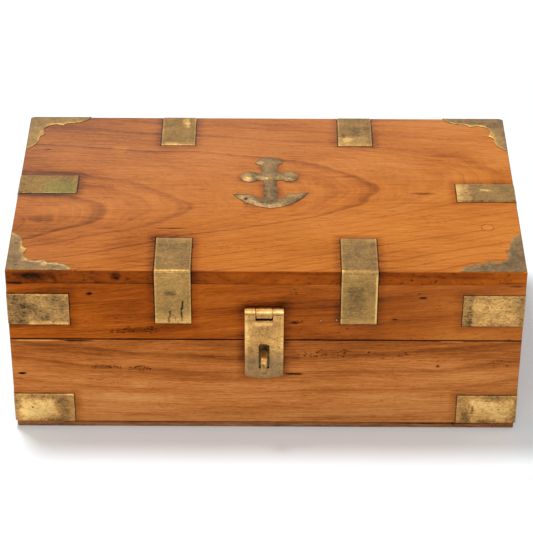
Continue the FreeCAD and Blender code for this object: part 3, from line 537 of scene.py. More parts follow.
# %% How the boards were sawn, and their colours
FLAT = ((1, 0, 0), (0, 1, 0), (0, 0, 1))
UPRIGHT = ((1, 0, 0), (0, 0, 1), (0, -1, 0))
SIDEWAYS = ((0, 1, 0), (0, 0, 1), (1, 0, 0))
RISING = ((0.9959, 0, 0.0906), (-0.0906, 0, 0.9959), (0, -1, 0))
RIFT = ((1, 0, 0), (0, 0.6, 0.8), (0, -0.8, 0.6))
ORANGE = [(0, "#2B1608"), (0.22, "#83431A"), (0.45, "#BB6A28"), (0.62, "#D07E34"), (0.85, "#E2964C")]
RUSSET = [(0, "#221003"), (0.22, "#703006"), (0.45, "#A54D0A"), (0.62, "#BE6014"), (0.85, "#D27A2A")]
HONEY = [(0, "#2A1506"), (0.22, "#803E14"), (0.45, "#B56426"), (0.62, "#D6803C"), (0.85, "#EAA45C")]
UMBER = [(0, "#1C120B"), (0.22, "#663C22"), (0.45, "#955E38"), (0.62, "#AC7448"), (0.85, "#C29066")]
GREY_SHEEN, TAN_FILM = "#ABA096", "#BC9A66"
TOP_LINES = [(69.9, 0.8), (81.7, 0.7), (93, 0.3), (100.5, 0.5), (106.5, 0.9), (114, 0.4), (125, 0.5),
             (136, 0.5), (150, 0.6), (165, 0.6), (182, 1.0), (199, 0.8), (215, 1.0), (232, 0.9),
             (249, 1.0), (266, 0.8)]
LID_LINES = [(58, 0.5), (69, 0.4), (80, 0.8), (92, 0.4)]
BASE_LINES = [(81, 0.5), (94, 0.7), (110.6, 0.8), (125.4, 0.9), (137, 0.5)]
SIDE_LINES = [(52, 0.4), (70, 0.7), (84, 0.4), (98, 0.8), (113, 0.5), (130, 0.6), (150, 0.6), (170, 0.5)]
print("lines drawn:", sum(map(len, (TOP_LINES, LID_LINES, BASE_LINES, SIDE_LINES))))

# %% Spots on the boards
Y, Z = 1, 2


def on_face(axis, level, thick, rows):
    """Rows of (two places, two half sizes, more) on a level face, with the face's axis filled in."""
    spots = []
    for first, second, long, short, *more in rows:
        centre, half = [first, second], [long, short]
        centre.insert(axis, level)
        half.insert(axis, thick)
        spots.append((centre, half, *more))
    return spots


TOP_MARKS = on_face(Z, 137, 4, [
    (111, -3, 13, 2.2, 0.2), (-108, 57, 8, 5.5, -0.13), (-160, -38, 14, 5, 0.12), (-67, -48.7, 14, 0.8, 0.35),
    (-161, 54.7, 4, 1, 0.3), (15, 91, 24, 2.5, 0.1), (130, 47.5, 16, 2.5, 0.14), (155, -46, 4.2, 4.2, -0.08)])
TOP_MARKS += on_face(Y, -101.5, 2.5, [
    (-172, 126.8, 8, 1.2, 0.35), (-157, 132.5, 20, 6, 0.26), (-161, 133.5, 10, 3, 0.16),
    (-102.5, 132.5, 5, 4.5, 0.26), (168, 128, 14, 1, 0.25), (140, 134, 50, 5, 0.12), (60, 136, 60, 2.5, 0.08)])
LID_MARKS = on_face(Y, -101, 6, [(-155, 132, 20, 5, 0.14)])
LID_MARKS += on_face(Y, -101, 4, [
    (-172, 126.6, 8, 1.2, 0.4), (-121, 118, 3, 2, 0.4), (107.5, 115.5, 4, 1.5, 0.4), (38, 95.8, 1.8, 1.8, 0.35),
    (48.8, 96.3, 2, 1.8, 0.35), (20, 94, 5, 2, 0.35), (89, 97, 3, 1.2, 0.3), (-90, 87, 20, 3, 0.2),
    (172, 125.5, 8, 1, 0.4)])
# The pale rows at x -160 and 130 just under the parting are bare wood of the worn edge below its chips, with a
# painted highlight.
BASE_MARKS = on_face(Y, -101, 4, [
    (-171, 49, 3.6, 1.3, 0.7), (20, 49.3, 8, 1.2, 0.55), (-132, 77.5, 13, 0.7, 0.8), (-160, 77.9, 22, 0.8, -0.5),
    (-113, 55, 12, 2.2, 0.14), (-88, 54, 9, 2.8, 0.13), (46, 69, 20, 2.4, 0.12), (72, 65.5, 34, 2, 0.12),
    (20, 66, 6, 6, 0.14), (120.5, 56.7, 2, 1.6, 0.3), (130, 78.2, 12, 0.9, -0.25), (-96, 27, 46, 7, -0.09),
    (84, 34, 40, 9, -0.08), (70, 9.5, 90, 4, 0.14), (-30, 44, 50, 3, 0.09), (-60, 13, 60, 3, 0.07)])
FOOT_MARKS = on_face(Y, -100, 3, [
    (118, 4.7, 62, 1.1, 0.3), (-96, 4.9, 80, 0.8, 0.22), (24, 1.6, 60, 1.4, 0.16), (-150, 1.8, 30, 1.6, 0.16),
    (86, 2.6, 40, 0.7, 0.18)])
print("spots:", sum(map(len, (TOP_MARKS, LID_MARKS, BASE_MARKS, FOOT_MARKS))))

# %% Joints and shades on the boards
# Boxes for a painted shadow: a soft dark halo on the wood round the anchor and the hasp.
ANCHOR_SHADE = [((-1, -10, 137), (7, 40, 137)), ((-16, 15, 137), (20, 21, 137)), ((-12, -18, 137), (18, -10, 137))]
HASP_SHADE = [((-14.5, -102, 50), (12.1, -101, 108))]
TOP_FACE = ("Z", 137, ((-176, -99, 130), (176, 99, 140)))
LONG_FACES = ("Y", 101, ((-176, -102, 0), (176, 102, 140)))


def seam(low, high, sunk, ends=True):
    """Boxes along a joint at a height, on the long faces and, if asked, on the ends of the chest."""
    long, short, _ = FACES
    boxes = [((-long, -short - 1, low), (long, sunk - short, high)),
             ((-long, short - sunk, low), (long, short + 1, high))]
    if ends:
        boxes += [((-long - 1, -short, low), (sunk - long, short, high)),
                  ((long - sunk, -short, low), (long + 1, short, high))]
    return boxes


PARTING, UNDER_TOP, FOOT = seam(79, 79.4, 0.4), seam(126.4, 126.6, 0.4), seam(5.9, 6.1, 0.8, ends=False)
corners = [(face, side) for face in ("front", "back") for side in ("left", "right")]
lid_corners = [f"lid_corner_strap_{face}_{side}" for face, side in corners]
base_corners = [f"base_corner_strap_{face}_{side}" for face, side in corners]
lid_straps = [f"{face}_strap_{side}" for face, side in corners]
end_straps = ["side_strap_left", "side_strap_right"]
print("joint boxes:", len(PARTING + UNDER_TOP + FOOT))

# %% Teak on the boards
boards = {
    "top_board_teak": (["lid_top_board"], dict(
        tones=ORANGE, edge_tones=RUSSET, rows=FLAT, heart=(-12, 45, 0.16), taper=0.18, crowd=(24, 1.1),
        lines=TOP_LINES, widths=(2.4, 0.9), figure=0.66, fibre=1.25,
        brass=strap_legs(lid_straps + end_straps, (0, 1, 2)), shaded=ANCHOR_SHADE, joints=UNDER_TOP,
        # The top's grey film, which grows towards the back, is painted sheen.
        marks=TOP_MARKS, face=TOP_FACE, veil=(-0.0003, 0.0008, 0, 0, GREY_SHEEN),
        fades=[("X", -40, -180, -0.13), ("X", 40, 180, 0.12), ("Y", -100.2, -100.8, -0.06)])),
    "lid_front_teak": (["lid_front_board", "lid_back_board"], dict(
        tones=RUSSET, rows=RISING, heart=(30, 80, 0.01), bow=-0.0001, lines=LID_LINES, widths=(6, 3),
        figure=0.5, fibre=1.6, blotch=(0.7, 60, 16), seed=11.0, brass=strap_legs(lid_straps + lid_corners, (1,)),
        shaded=HASP_SHADE, grooves=PARTING, joints=UNDER_TOP, marks=LID_MARKS, face=LONG_FACES,
        veil=(0.0005, 0, 0, -0.03, TAN_FILM), fades=[("X", 60, 180, 0.21), ("X", -60, -180, 0.11)])),
    "base_front_teak": (["base_front_board", "base_back_board"], dict(
        tones=HONEY, rows=UPRIGHT, heart=(-60, 90, 0.0), bow=-0.00038, lines=BASE_LINES, widths=(6, 2),
        figure=0.5, fibre=1.4, blotch=(0.5, 80, 14), seed=23.0, brass=strap_legs(base_corners, (1,)),
        shaded=HASP_SHADE, grooves=PARTING + FOOT, marks=BASE_MARKS, face=LONG_FACES,
        # The first fade makes the base front paler towards its foot: painted light from the floor.
        veil=(0.0001, 0, -0.0018, 0.08, TAN_FILM), fades=[("Z", 75, 5, 0.2), ("Z", 45, 72, -0.06)])),
    "side_teak": (["lid_left_board", "lid_right_board", "base_left_board", "base_right_board"], dict(
        tones=RUSSET, rows=SIDEWAYS, heart=(-50, 60, 0.05), bow=0.0003, lines=SIDE_LINES, widths=(6, 3),
        figure=0.6, fibre=2.0, seed=37.0, brass=strap_legs(end_straps + lid_corners + base_corners, (0,)),
        grooves=PARTING, joints=UNDER_TOP)),
    "floor_teak": (["floor_board"], dict(
        tones=UMBER, rows=RIFT, heart=(20, -400, 0.0), lines=SIDE_LINES, fibre=1.5, blotch=(0.6, 60, 7),
        seed=51.0, grooves=FOOT, marks=FOOT_MARKS)),
}
teak_of = {}


def dress(node, finish):
    """Give a node of the solid model its finish."""
    nodes[node].data.materials.clear()
    nodes[node].data.materials.append(finish)


for name, (members, settings) in boards.items():
    teak = waxed_teak(name, **settings)
    for node in members:
        teak_of[node] = teak
        dress(node, teak)
    print(name, "on", len(members), "boards,", len(teak.node_tree.nodes), "nodes")

# %% [markdown]
# ## Aged brass
# Rolled brass goes olive and brown as it tarnishes, and stays golden where cloth and hands rub it: on
# rims, bends and proud spots. The bright line on a bend is partly that rubbing and partly a painted
# highlight. A finish that looked for edges by itself would need a bake, so here the map of a bent sheet
# tells where its ends, sides and bend are. Thin bright curls come from hard grit that rolled about under
# a polishing rag.


# %% Wear on sheet brass
def sheet_wear_and_glint(tree):
    """How worn each place of a bent strip is at its ends and along its sides, and how bright its bend is, from
    rubbing and a painted highlight.
    """
    run, across, _ = add(tree, "SeparateXYZ", {0: add(tree, "UVMap", uv_map="sheet")[0]})
    edges = []
    for value in (run, across):
        side = add(tree, "Math", {0: value, 1: 0.5}, operation="SUBTRACT")[0]
        edges.append(add(tree, "Math", {0: side}, operation="ABSOLUTE")[0])
    ends, sides = [add(tree, "MapRange", {"Value": edge, "From Min": 0.44, "From Max": 0.48})[0] for edge in edges]
    # The bend's bright line: rubbing and a painted highlight.
    bend = add(tree, "MapRange", {"Value": edges[0], "From Min": 0.003, "From Max": 0.011, "To Min": 1.0,
                                  "To Max": 0.0})[0]
    return ends, sides, bend


def bright_curls(tree, curl, cloud):
    """Thin threads along the middle of a curling noise, in some of the clouds only."""
    thread = add(tree, "Math", {0: curl, 1: 0.5}, operation="SUBTRACT")[0]
    thread = add(tree, "Math", {0: thread}, operation="ABSOLUTE")[0]
    thread = add(tree, "MapRange", {"Value": thread, "From Max": 0.035, "To Min": 1.0, "To Max": 0.0})[0]
    some = add(tree, "MapRange", {"Value": cloud, "From Min": 0.36, "From Max": 0.52})[0]
    return add(tree, "Math", {0: thread, 1: some}, operation="MULTIPLY")[0]


# %% [markdown]
# A cloud of tarnish a centimetre or two wide, a mottle, curls and scratches add to one tone, as in the
# wood. Mottle is 1.7 mm and scratches 0.7 mm wide, coarser than life, so that the camera can see them.

# %% Tarnish
MIDDLE_SHADE = 0.45
CLOUD, GRIT = {"Detail": 3.0, "Roughness": 0.55}, {"Detail": 3.0, "Roughness": 0.7}
CURL = {"Detail": 3.0, "Roughness": 0.6, "Distortion": 1.4}
SCRATCH_TURN = {"Rotation": (0.3, 0.75, 0.6)}


def tarnish(tree, moved, brass):
    """The tone from dirt at 0 to bare metal at 1, with the grit and the scratches in it."""
    cloud, grit, scratch, curl = mottling(tree, (
        (moved, (brass.patch,) * 3, {}, CLOUD, None), (moved, (1.7,) * 3, {}, GRIT, None),
        (moved, (14, 0.7, 0.9), SCRATCH_TURN, {"Detail": 1.0}, (0.62, 0.74)),
        (moved, (4.2, 4.2, 2.4), {}, CURL, None)))
    middle = MIDDLE_SHADE + brass.rubbed - 0.5 * (brass.cloudy + brass.mottle + brass.fleck)
    tone = add(tree, "Math", {0: cloud, 1: brass.cloudy, 2: middle}, operation="MULTIPLY_ADD")[0]
    parts = [(grit, brass.mottle), (curl, brass.fleck), (scratch, brass.stroke)]
    if brass.squiggle:
        parts.append((bright_curls(tree, curl, cloud), brass.squiggle))
    if brass.sheet:
        parts += zip(sheet_wear_and_glint(tree), brass.sheet)
    if brass.rim:
        parts.append((add(tree, "Attribute", attribute_name="worn")["Fac"], brass.rim))
    return add_up(tree, tone, parts), grit, scratch


# %% [markdown]
# Tarnish is a thin skin of oxide, so the shader is not quite all metal: to the eye the dark parts look
# dull and brown and the bare ones glint. Zones say where a piece was rubbed bright or stayed dirty, and
# on the hasp they also paint its highlight, shade and shadow, as boxes with ragged rims; films lay
# verdigris or grease over the metal.

# %% Aged brass
SHADE_STOPS = (0.0, 0.2, 0.45, 0.68, 0.95)
METAL_SHARE = 0.85
SCRATCH_RELIEF = 0.15 * MM
PLAIN_BRASS = dict(patch=22.0, cloudy=0.8, mottle=0.5, fleck=0.3, rubbed=0.0, seed=0.0, rough=(0.5, 0.32),
                   sheet=(), rim=0.0, zones=(), films=(), squiggle=0.0, stroke=0.12)


def around(tree, real, centre, half):
    """The distance in mm to a box, given by its centre and half its sizes."""
    return beside(tree, real, [(Vector(centre) - Vector(half), Vector(centre) + Vector(half))])


def aged_brass(name, shades, **own):
    """Tarnished brass in five shades, from dirt to bare metal."""
    brass = SimpleNamespace(**{**PLAIN_BRASS, **own})
    material, tree, shader = new_finish(name)
    real = in_mm(tree)
    shift = [brass.seed * step for step in (31, 17, 23)]
    moved = add(tree, "VectorMath", {0: real, 1: shift}, operation="ADD")[0]
    tone, grit, scratch = tarnish(tree, moved, brass)
    [ragged] = mottling(tree, [(moved, (3.6,) * 3, {}, {"Detail": 3.0, "Roughness": 0.6}, None)])
    for centre, half, reach, brighter in brass.zones:
        near = around(tree, real, centre, half)
        near = fray(tree, near, ragged, *[share * reach for share in ZONE_FRAY])
        tone = darken(tree, tone, near, ZONE_REACH * reach, -brighter)
    colour = add(tree, "ValToRGB", {0: tone}, stops=list(zip(SHADE_STOPS, shades)))["Color"]
    for centre, half, reach, share, tint in brass.films:
        film = add(tree, "MapRange", {"Value": around(tree, real, centre, half), "From Max": reach,
                                      "To Min": share, "To Max": 0.0}, interpolation_type="SMOOTHSTEP")[0]
        film = add(tree, "Math", {0: film, 1: grit}, operation="MULTIPLY")[0]
        colour = add(tree, "Mix", {0: film, 6: colour, 7: linear(tint)}, data_type="RGBA")[2]
    dull = add(tree, "MapRange", {"Value": tone, "To Min": brass.rough[0], "To Max": brass.rough[1]})[0]
    height = add(tree, "Math", {0: scratch, 1: -0.4, 2: grit}, operation="MULTIPLY_ADD")[0]
    relief = add(tree, "Bump", {"Height": height, "Strength": 0.3, "Distance": SCRATCH_RELIEF})[0]
    for socket, value in (("Base Color", colour), ("Roughness", dull), ("Normal", relief)):
        tree.links.new(value, shader.inputs[socket])
    shader.inputs["Metallic"].default_value = METAL_SHARE
    return material


# %% [markdown]
# Most zones are what each piece has lived through, read on the chest: knife marks on the left front
# strap, a dirty line beside the end straps, corners polished by hands. On the hasp some zones are painted
# light instead: a highlight on the knuckles, shade under them, shadow in the notch and the slot. A row
# has a place and half sizes on a face, then how far the zone reaches and how much brighter it is.

# %% Rubbed and dirty places
VERDIGRIS, GREASE = "#7E8640", "#937650"
STRAP_ZONES = on_face(Y, -101.5, 1, [
    (0, 114, 80, 20, 2.0, 0.13), (-57.4, 109, 0.1, 3, 0.8, -0.5), (-58.3, 103, 0.1, 3.5, 0.9, -0.5),
    (-57.8, 97.5, 0.1, 2, 0.8, -0.4), (-66, 101, 0.1, 2.5, 0.8, -0.45), (-67, 96.5, 0.1, 2, 0.9, -0.45),
    (-62.5, 97, 0.1, 1.5, 0.7, -0.3), (-66, 119, 2, 0.5, 2.5, -0.3), (-64, 97, 10, 2, 3.0, 0.1),
    (62, 112, 3, 9, 4.0, -0.14), (64, 112, 10, 18, 2.0, -0.07), (76, 115, 0.3, 18, 0.9, 0.34)])
STRAP_ZONES += on_face(Z, 137.5, 1, [
    (0, -84, 80, 14, 3.0, -0.08), (-158, 7, 22, 12, 3.0, -0.06), (-60.5, 94, 1, 3, 2.0, 0.4),
    (-59, 89, 0.3, 3, 1.8, 0.4), (64, 68, 9, 4, 3.0, 0.22), (60, 69, 2, 2, 2.0, 0.25),
    (57, 74, 0.2, 2, 1.5, -0.3), (66, 80, 1, 5, 3.0, -0.15), (-70, 63, 4, 0.5, 2.0, 0.25),
    (140, -2, 3, 8, 4.0, 0.34), (156, 1.5, 2.4, 0.1, 1.2, 0.4), (160, 0.6, 1.6, 0.1, 1.0, 0.3)])
STRAP_ZONES += on_face(Z, 137.4, 1, [(-157, -4.5, 22, 0.5, 1.4, -0.3), (157, -13.5, 22, 0.5, 1.4, -0.35)])
STRAP_FILMS = [((-148, 1, 137.5), (4, 3, 1), 13.0, 0.8, VERDIGRIS)]
CORNER_ZONES = on_face(Y, -101.5, 1, [
    (-157, 104.6, 22, 14, 2.0, -0.06), (-173, 104.6, 6, 14, 3.0, -0.16), (138, 104.6, 3, 14, 2.0, -0.18),
    (-150, 92.6, 12, 0.6, 2.0, 0.35), (-161, 17, 9, 4, 6.0, 0.45), (158, 103, 12, 7, 5.0, 0.13),
    (160, 17, 12, 6, 5.0, 0.45), (147, 19, 0.1, 1.5, 1.2, -0.5)])
PLATE_ZONES = on_face(Z, 137.5, 1, [
    (-158, 90, 20, 5, 5.0, 0.1), (-173, 72, 3, 12, 4.0, 0.12), (-152, 89.5, 12, 1, 1.5, 0.2),
    (-168, 72, 1, 8, 1.5, 0.2), (152, 89.5, 12, 1, 1.5, 0.3), (167, 72, 1.5, 8, 2.0, 0.3),
    (171, 72, 3, 12, 3.0, 0.12), (-167, -72, 1.2, 6, 2.0, 0.32), (-152, -94, 1, 1, 1.5, 0.3),
    (-166, -88, 1, 1, 1.5, 0.25), (160, -85, 20, 18, 4.0, -0.07)])
ANCHOR_ZONES = on_face(Z, 138, 1, [
    (-16.5, 18, 2, 3, 3.0, 0.3), (20, -7, 4, 2, 2.5, 0.22), (-22.6, -4, 0.6, 0.8, 1.0, 0.5),
    (-14.5, -12.5, 0.4, 0.4, 1.2, -0.45), (18, 20, 3, 1, 3.0, 0.12), (2, -14, 8, 2, 4.0, -0.1)])
ANCHOR_ZONES += on_face(Z, 138.6, 1, [(0.3, 14.5, 0.3, 0.3, 0.8, 0.5)])
# On the hasp, the brighter box over the knuckle tops is a painted highlight and the darker one just below them
# painted shade; the black box in the notch and the dark one in the slot are painted shadow.
HASP_WEAR_AND_LIGHT_ZONES = [
    ((-1.2, -104, 50), (14, 6, 8), 14.0, -0.2), ((-1.2, -106, 107.5), (14, 2, 1), 1.5, 0.22),
    ((-1.2, -106.3, 103.4), (14, 2, 0.6), 1.0, -0.25), ((-13.9, -104, 80), (0.5, 3, 24), 1.5, 0.22),
    ((11.6, -104, 80), (0.4, 3, 24), 1.2, 0.12), ((-1.2, -101.8, 98.4), (5.9, 0.5, 1.5), 0.2, -0.9),
    ((-1.2, -102, 67), (3.8, 1.4, 10.6), 0.2, -0.55), ((-2.4, -104.5, 94.9), (6.8, 0.3, 1.5), 0.3, 0.25),
    ((-1.2, -106.3, 102.6), (5.1, 0.5, 1.6), 0.5, 0.14), ((-1.2, -113, 62), (3, 4, 7), 1.5, -0.16)]
HASP_FILMS = [((-1.2, -104.2, 54), (14, 0.4, 7), 16.0, 1.1, GREASE)]
print("zones:", sum(map(len, (STRAP_ZONES, CORNER_ZONES, PLATE_ZONES, ANCHOR_ZONES, HASP_WEAR_AND_LIGHT_ZONES))))

# %% Six brasses
OLIVE = ("#241A0C", "#664D2B", "#97733E", "#B88C4E", "#E6B86A")
GOLD = ("#2C2010", "#7A5B33", "#AF824A", "#DBA55B", "#F8CF84")
BRONZE = ("#231A10", "#574328", "#876B47", "#A9854F", "#CFA255")
# Rolled strip, left to tarnish: olive, with golden rims and a golden bend, rubbed and with a painted highlight
strap_brass = aged_brass("strap_brass_tarnished", OLIVE, cloudy=0.5, fleck=0.5, rubbed=-0.03, stroke=0.16,
                         sheet=(0.14, 0.2, 0.25), zones=STRAP_ZONES, films=STRAP_FILMS)
# The same strip where hands lift the chest: gold, with curls of polish
corner_brass = aged_brass("corner_brass_rubbed", GOLD, patch=13.0, cloudy=0.6, fleck=0.7, rubbed=-0.09, seed=5.0,
                          sheet=(0.1, 0.04, 0.1), zones=CORNER_ZONES, squiggle=0.3, stroke=0.22)
# Cut plate, dull and brown in its field and brighter on its rim
plate_brass = aged_brass("plate_brass_dull", BRONZE, patch=13.0, cloudy=0.5, mottle=0.35, fleck=0.4, rubbed=-0.02,
                         seed=9.0, rough=(0.6, 0.42), rim=0.2, zones=PLATE_ZONES)
# A sand casting, rough and brown, darkest along its foot
anchor_brass = aged_brass("anchor_brass_cast", BRONZE, patch=11.0, rubbed=-0.02, seed=14.0, rough=(0.62, 0.42),
                          rim=-0.16, zones=ANCHOR_ZONES)
# Sheet that is handled daily: the brightest gold, greasy at its foot; its zones paint a highlight on the knuckles,
# shade under them and shadow in the notch and slot
hasp_brass = aged_brass("hasp_brass_bright", GOLD, patch=15.0, cloudy=0.5, fleck=0.7, rubbed=0.05, seed=21.0,
                        zones=HASP_WEAR_AND_LIGHT_ZONES, films=HASP_FILMS, squiggle=0.28)
# Drawn wire, filed off: small olive heads
small_brass = aged_brass("pin_brass_filed", OLIVE, patch=8.0, seed=30.0)
print("brasses:", [material.name for material in bpy.data.materials if "_brass_" in material.name])

# %% [markdown]
# ## Iron nails
# The nails are forged iron with a black skin of oxide, punched below the surface, so the eye sees only
# a dark dot with a little rust. They could share the brass, but would then glint in their holes.

# %% Iron
iron, tree, shader = new_finish("nail_iron_blackened")
[rust] = mottling(tree, [(in_mm(tree), (0.8,) * 3, {}, {"Detail": 3.0}, None)])
colour = add(tree, "ValToRGB", {0: rust}, stops=[(0.35, "#1B1613"), (0.55, "#2E2520"), (0.72, "#4E3423")])["Color"]
tree.links.new(colour, shader.inputs["Base Color"])
shader.inputs["Metallic"].default_value = 0.7
shader.inputs["Roughness"].default_value = 0.6
metal_of = {"corner_plate_pins": plate_brass, "anchor_pin": anchor_brass, "staple_plate": hasp_brass}
fittings = [node for node in nodes if not node.endswith("_board")]
for node in fittings:
    dress(node, iron if node.endswith("_nails") else metal_of.get(node, small_brass))
print("finish on", len(fittings), "fittings")

# %% [markdown]
# ## A finished piece
# New pieces start from a solid of the model or from a few vertices, and all end the same way: the mesh
# goes to an object at the origin, gets its finish, rides on a body and, in most cases, stands for its
# node. A solid comes as loose triangles, so a copy is merged before it is worked on.

# %% Start and finish a piece
MERGE = 0.002 * MM


def solid_copy(node, whole_faces=False):
    """A merged copy of a node's solid, with its flat faces made whole again if asked."""
    bm = bmesh.new()
    bm.from_mesh(nodes[node].data)
    bmesh.ops.remove_doubles(bm, verts=bm.verts, dist=MERGE)
    if whole_faces:
        bmesh.ops.dissolve_limit(bm, angle_limit=math.radians(1), verts=bm.verts, edges=bm.edges)
    return bm


def finish_piece(bm, name, finish, node, stands_for=True, smooth=40.0):
    """Turn a bmesh into a piece that rides with a node and, unless told otherwise, stands for it."""
    mesh = bpy.data.meshes.new(name)
    bm.to_mesh(mesh)
    bm.free()
    mesh.materials.append(finish)
    mesh.shade_smooth()
    mesh.set_sharp_from_angle(angle=math.radians(smooth))
    piece = bpy.data.objects.new(name, mesh)
    scene.collection.objects.link(piece)
    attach(piece, body_of[node])
    if stands_for:
        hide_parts(node)
    return piece


def file_edges(piece, width, segments, angle=30.0):
    """Round the edges of a piece with a Bevel modifier, so that they catch the light."""
    eased = piece.modifiers.new("filed_edge", "BEVEL")
    eased.width, eased.segments = width, segments
    eased.limit_method, eased.angle_limit = "ANGLE", math.radians(angle)


# %% [markdown]
# ## Worn boards
# The front has pits, chips and a crack, and a wooden plug in the top shows as a fine ring round a pale
# disc. Bump in a finish would stay flat at the outline, so lumpy cutters are taken out of the boards
# with a Boolean. Pits are scattered from a fixed seed, so that each run gives the same board.

# %% Where the boards have lost wood
single_pits = {
    "base_front_board": [((-171, -101, 49), (2.9, 0.7, 0.8)), ((17, -101, 49.6), (3.8, 0.6, 0.5)),
                         ((23, -101, 49.2), (4.0, 0.6, 0.45)), ((120.5, -101, 56.7), (1.1, 0.5, 0.8)),
                         ((169, -101, 57.5), (0.9, 0.5, 0.6)), ((-161, -101.6, 79.4), (21, 1.6, 1.9)),
                         ((-132, -101.2, 77.6), (11, 0.9, 0.5)), ((-141, -101.4, 79.2), (16, 1.0, 1.1)),
                         ((131, -101.2, 79.1), (9, 0.8, 0.8)), ((60, -101.2, 79.1), (5, 0.6, 0.5))],
    "lid_front_board": [((38, -101, 95.8), (0.8, 0.4, 0.8)), ((48.8, -101, 96.3), (0.9, 0.4, 0.8)),
                        ((20, -101, 94), (2.2, 0.5, 0.7)), ((107.5, -101, 115.5), (2.6, 0.7, 0.7)),
                        ((105, -101, 119), (1.2, 0.5, 0.5)), ((-121, -101, 118), (1.7, 0.6, 1.0)),
                        ((89, -101, 97), (1.8, 0.5, 0.5)), ((-90, -101.2, 79.3), (9, 0.6, 0.6))],
    "lid_top_board": [((-67, -48.7, 137), (13, 0.3, 0.25)), ((111, -3, 137), (9, 0.5, 0.3)),
                      ((-161, 54.7, 137), (2.5, 0.4, 0.4))],
}
# Fields of small pits: the middle in x and z, the half sizes, and how many
pit_fields = {
    "base_front_board": [((42, 67.5), (16, 3.5), 26), ((82, 66), (20, 3), 12), ((-113, 55), (12, 1.4), 16),
                         ((-88, 54), (9, 2.2), 16)],
    "lid_front_board": [((-92, 87), (16, 3), 26), ((40, 90), (30, 6), 8)],
}
plugs = {"lid_top_board": [((155, -46, 137), 4.4)]}
print("single pits:", {node: len(pits) for node, pits in single_pits.items()})

# %% Cutters for pits and plugs
PIT_SEED, PIT_LUMPS = 4, 0.35
PLUG_GROOVE = 0.28 * MM


def lumpy_ball(bm, centre, radii, lumps):
    """Add a squashed ball with an uneven surface; centre and radii are in mm."""
    ball = bmesh.ops.create_icosphere(bm, subdivisions=2, radius=1.0)["verts"]
    for vert in ball:
        vert.co *= 1 + lumps * noise.noise(vert.co * 1.3 + Vector(centre))
    spread = Matrix.LocRotScale(Vector(centre) * MM, None, Vector(radii) * MM)
    bmesh.ops.transform(bm, matrix=spread, verts=ball)


def plug_ring(bm, centre, radius):
    """Add a thin ring, a small circle spun once round the plug."""
    before = set(bm.verts)
    turned = Matrix.Translation(Vector((radius, 0, 0)) * MM) @ Matrix.Rotation(math.pi / 2, 4, "X")
    circle = bmesh.ops.create_circle(bm, segments=8, radius=PLUG_GROOVE, matrix=turned)["verts"]
    edges = list({edge for vert in circle for edge in vert.link_edges})
    bmesh.ops.spin(bm, geom=edges, cent=(0, 0, 0), axis=(0, 0, 1), angle=math.tau, steps=32, use_merge=True)
    ring = [vert for vert in bm.verts if vert not in before]
    bmesh.ops.translate(bm, verts=ring, vec=Vector(centre) * MM)
    bmesh.ops.recalc_face_normals(bm, faces=list({face for vert in ring for face in vert.link_faces}))


def pit_cutter(node):
    """All that a board has lost, or nothing for a sound board."""
    spots = list(single_pits.get(node, ()))
    draw = random.Random(PIT_SEED)
    for (x, z), (wide, tall), count in pit_fields.get(node, ()):
        for _ in range(count):
            place = (x + draw.uniform(-wide, wide), -101, z + draw.uniform(-tall, tall))
            spots.append((place, (draw.uniform(0.4, 1.2), 0.4, draw.uniform(0.3, 0.6))))
    bm = bmesh.new()
    for centre, radii in spots:
        lumpy_ball(bm, centre, radii, PIT_LUMPS)
    for centre, radius in plugs.get(node, ()):
        plug_ring(bm, centre, radius)
    return bm


# %% [markdown]
# Some tools, such as Boolean and Remesh, exist only as modifiers. A short-lived object holds the mesh
# while the modifier works on it, and its evaluated mesh is read back.


# %% Work with a modifier
def on_bench(name, bm):
    """A short-lived object that holds a mesh."""
    thing = bpy.data.objects.new(name, bpy.data.meshes.new(name))
    bm.to_mesh(thing.data)
    bm.free()
    scene.collection.objects.link(thing)
    return thing


def worked(thing, kind, **settings):
    """What one modifier makes of a short-lived object, which then goes."""
    tool = thing.modifiers.new("tool", kind)
    for key, value in settings.items():
        setattr(tool, key, value)
    bm = bmesh.new()
    bm.from_mesh(thing.evaluated_get(bpy.context.evaluated_depsgraph_get()).data)
    bpy.data.objects.remove(thing)
    return bm


# %% [markdown]
# Where two boards meet, their sharp edges have worn off, and that little groove is what draws the dark
# line of a joint. A drawn line would not catch the light, so those edges of the copies are bevelled.
# The glued joint under the top board stays sharp, and the foot is worn most.

# %% Worn edges and boards
JOINT_WEAR, FOOT_WEAR = 0.5 * MM, 1.8 * MM
ON_LEVEL, ON_FACE = 0.02 * MM, 0.1 * MM
GLUED_Z = 126.5 * MM
SHARP, NEARLY_SQUARE = math.radians(30), 1.0  # angles between faces, in radians


def worn_edges(bm, node):
    """The edges round the foot of the floor, or the level edges of another board's outer faces."""
    if node == "floor_board":
        at_foot = [edge for edge in bm.edges if all(vert.co.z < MERGE for vert in edge.verts)]
        return [edge for edge in at_foot if edge.calc_face_angle() > NEARLY_SQUARE]
    levels = [corner.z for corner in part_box(node)]
    found = []
    for edge in bm.edges:
        ends = [vert.co for vert in edge.verts]
        level = any(all(abs(co.z - z) < ON_LEVEL for co in ends) for z in levels)
        glued = all(abs(co.z - GLUED_Z) < ON_LEVEL for co in ends)
        outside = any(all(abs(abs(co[axis]) - FACES[axis] * MM) < ON_FACE for co in ends) for axis in (0, 1))
        if level and outside and not glued and edge.is_manifold and edge.calc_face_angle() > SHARP:
            found.append(edge)
    return found


